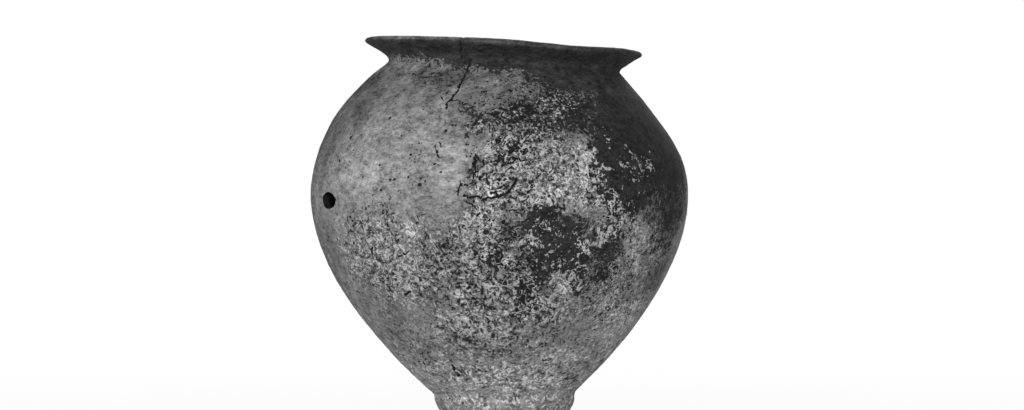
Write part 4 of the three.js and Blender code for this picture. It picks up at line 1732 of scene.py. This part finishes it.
def seen_by(tree, *rays):
    """Whether a surface is seen by the camera or by one of the other rays named."""
    seen = add_node(tree, "ShaderNodeLightPath", output="Is Camera Ray")
    for ray in rays:
        inputs = {"Value": seen, "Value_001": add_node(tree, "ShaderNodeLightPath", output=ray)}
        seen = add_node(tree, "ShaderNodeMath", inputs, operation="MAXIMUM")
    return seen


def floor_material(colours):
    """Matt studio paper, pale and even: it takes the jar's shadow and goes white further off."""
    material = bpy.data.materials.new("matt studio paper")
    tree = new_tree(material)
    paper = add_node(tree, "ShaderNodeBsdfDiffuse", {"Color": (*colours.floor, 1)})
    white = add_node(tree, "ShaderNodeEmission", {"Color": WHITE, "Strength": 1.0})
    place = add_node(tree, "ShaderNodeNewGeometry", output="Position")
    away = add_node(tree, "ShaderNodeVectorMath", {"Vector": place}, "Value", operation="LENGTH")
    inputs = {"Value": away, "From Min": PAPER_NEAR, "From Max": PAPER_FAR, "To Min": PAPER_GLOW}
    glow = add_node(tree, "ShaderNodeMapRange", inputs)
    inputs = {"Value": glow, "Value_001": seen_by(tree, "Is Glossy Ray", "Is Transmission Ray")}
    share = add_node(tree, "ShaderNodeMath", inputs, operation="MULTIPLY")
    mix = add_node(tree, "ShaderNodeMixShader", {"Fac": share, "Shader": paper, "Shader_001": white})
    add_node(tree, "ShaderNodeOutputMaterial", {"Surface": mix})
    return material


def make_world():
    """Soft light from all round, which the camera sees as white."""
    world = bpy.data.worlds.new("studio")
    tree = new_tree(world)
    shown = seen_by(tree, "Is Transmission Ray")
    soft = add_node(tree, "ShaderNodeBackground", {"Color": WHITE, "Strength": AMBIENT})
    white = add_node(tree, "ShaderNodeBackground", {"Color": WHITE, "Strength": 1.0})
    mix = add_node(tree, "ShaderNodeMixShader", {"Fac": shown, "Shader": soft, "Shader_001": white})
    add_node(tree, "ShaderNodeOutputWorld", {"Surface": mix})
    return world


class URN_OT_stage(bpy.types.Operator):
    """Pale floor, soft light from the front and the camera of the photograph"""

    bl_idname = "urn.stage"
    bl_label = "Stage"

    def execute(self, context):
        scene = context.scene
        scene.view_settings.view_transform = "Standard"
        scene.world = make_world()

        mesh = bpy.data.meshes.new("studio_floor")
        h = FLOOR_HALF
        mesh.from_pydata([(-h, -h, 0), (h, -h, 0), (h, h, 0), (-h, h, 0)], [], [(0, 1, 2, 3)])
        mesh.materials.append(floor_material(scene.urn_colours))
        floor = bpy.data.objects.new("studio_floor", mesh)
        scene.collection.objects.link(floor)

        for name, azimuth, elevation, strength in LAMPS:
            light = bpy.data.lights.new(name, "SUN")
            light.energy = strength
            light.angle = math.radians(LAMP_SOFTNESS)
            lamp = bpy.data.objects.new(name, light)
            turn = Matrix.Rotation(math.radians(azimuth), 4, "Z")
            lamp.matrix_world = turn @ Matrix.Rotation(math.radians(90 - elevation), 4, "X")
            scene.collection.objects.link(lamp)

        camera_data = bpy.data.cameras.new("camera")
        camera_data.lens = CAMERA_LENS
        camera_data.sensor_width = CAMERA_SENSOR
        camera = bpy.data.objects.new("camera", camera_data)
        camera.location = (CAMERA_SIDE, -CAMERA_AWAY, CAMERA_HEIGHT)
        camera.rotation_euler = (math.radians(90), 0, 0)
        scene.collection.objects.link(camera)
        scene.camera = camera
        return {"FINISHED"}


class URN_PT_panel(bpy.types.Panel):
    bl_idname = "URN_PT_panel"
    bl_label = "Burial urn"
    bl_space_type = "VIEW_3D"
    bl_region_type = "UI"
    bl_category = "Urn"

    def draw(self, context):
        for group in (context.scene.urn_sizes, context.scene.urn_colours):
            for name in group.__annotations__:
                self.layout.prop(group, name)
        for operator in OPERATORS:
            self.layout.operator(operator.bl_idname)


OPERATORS = (
    URN_OT_stage,
    URN_OT_floor_slab,
    URN_OT_foot,
    URN_OT_lower_wall,
    URN_OT_belly,
    URN_OT_shoulder,
    URN_OT_collar,
)
CLASSES = (UrnSizes, UrnColours, *OPERATORS, URN_PT_panel)


def register():
    for cls in CLASSES:
        bpy.utils.register_class(cls)
    bpy.types.Scene.urn_sizes = bpy.props.PointerProperty(type=UrnSizes)
    bpy.types.Scene.urn_colours = bpy.props.PointerProperty(type=UrnColours)


def unregister():
    del bpy.types.Scene.urn_colours
    del bpy.types.Scene.urn_sizes
    for cls in reversed(CLASSES):
        bpy.utils.unregister_class(cls)


def main():
    register()
    for operator in OPERATORS:
        group, name = operator.bl_idname.split(".")
        getattr(getattr(bpy.ops, group), name)()


if __name__ == "__main__":
    main()
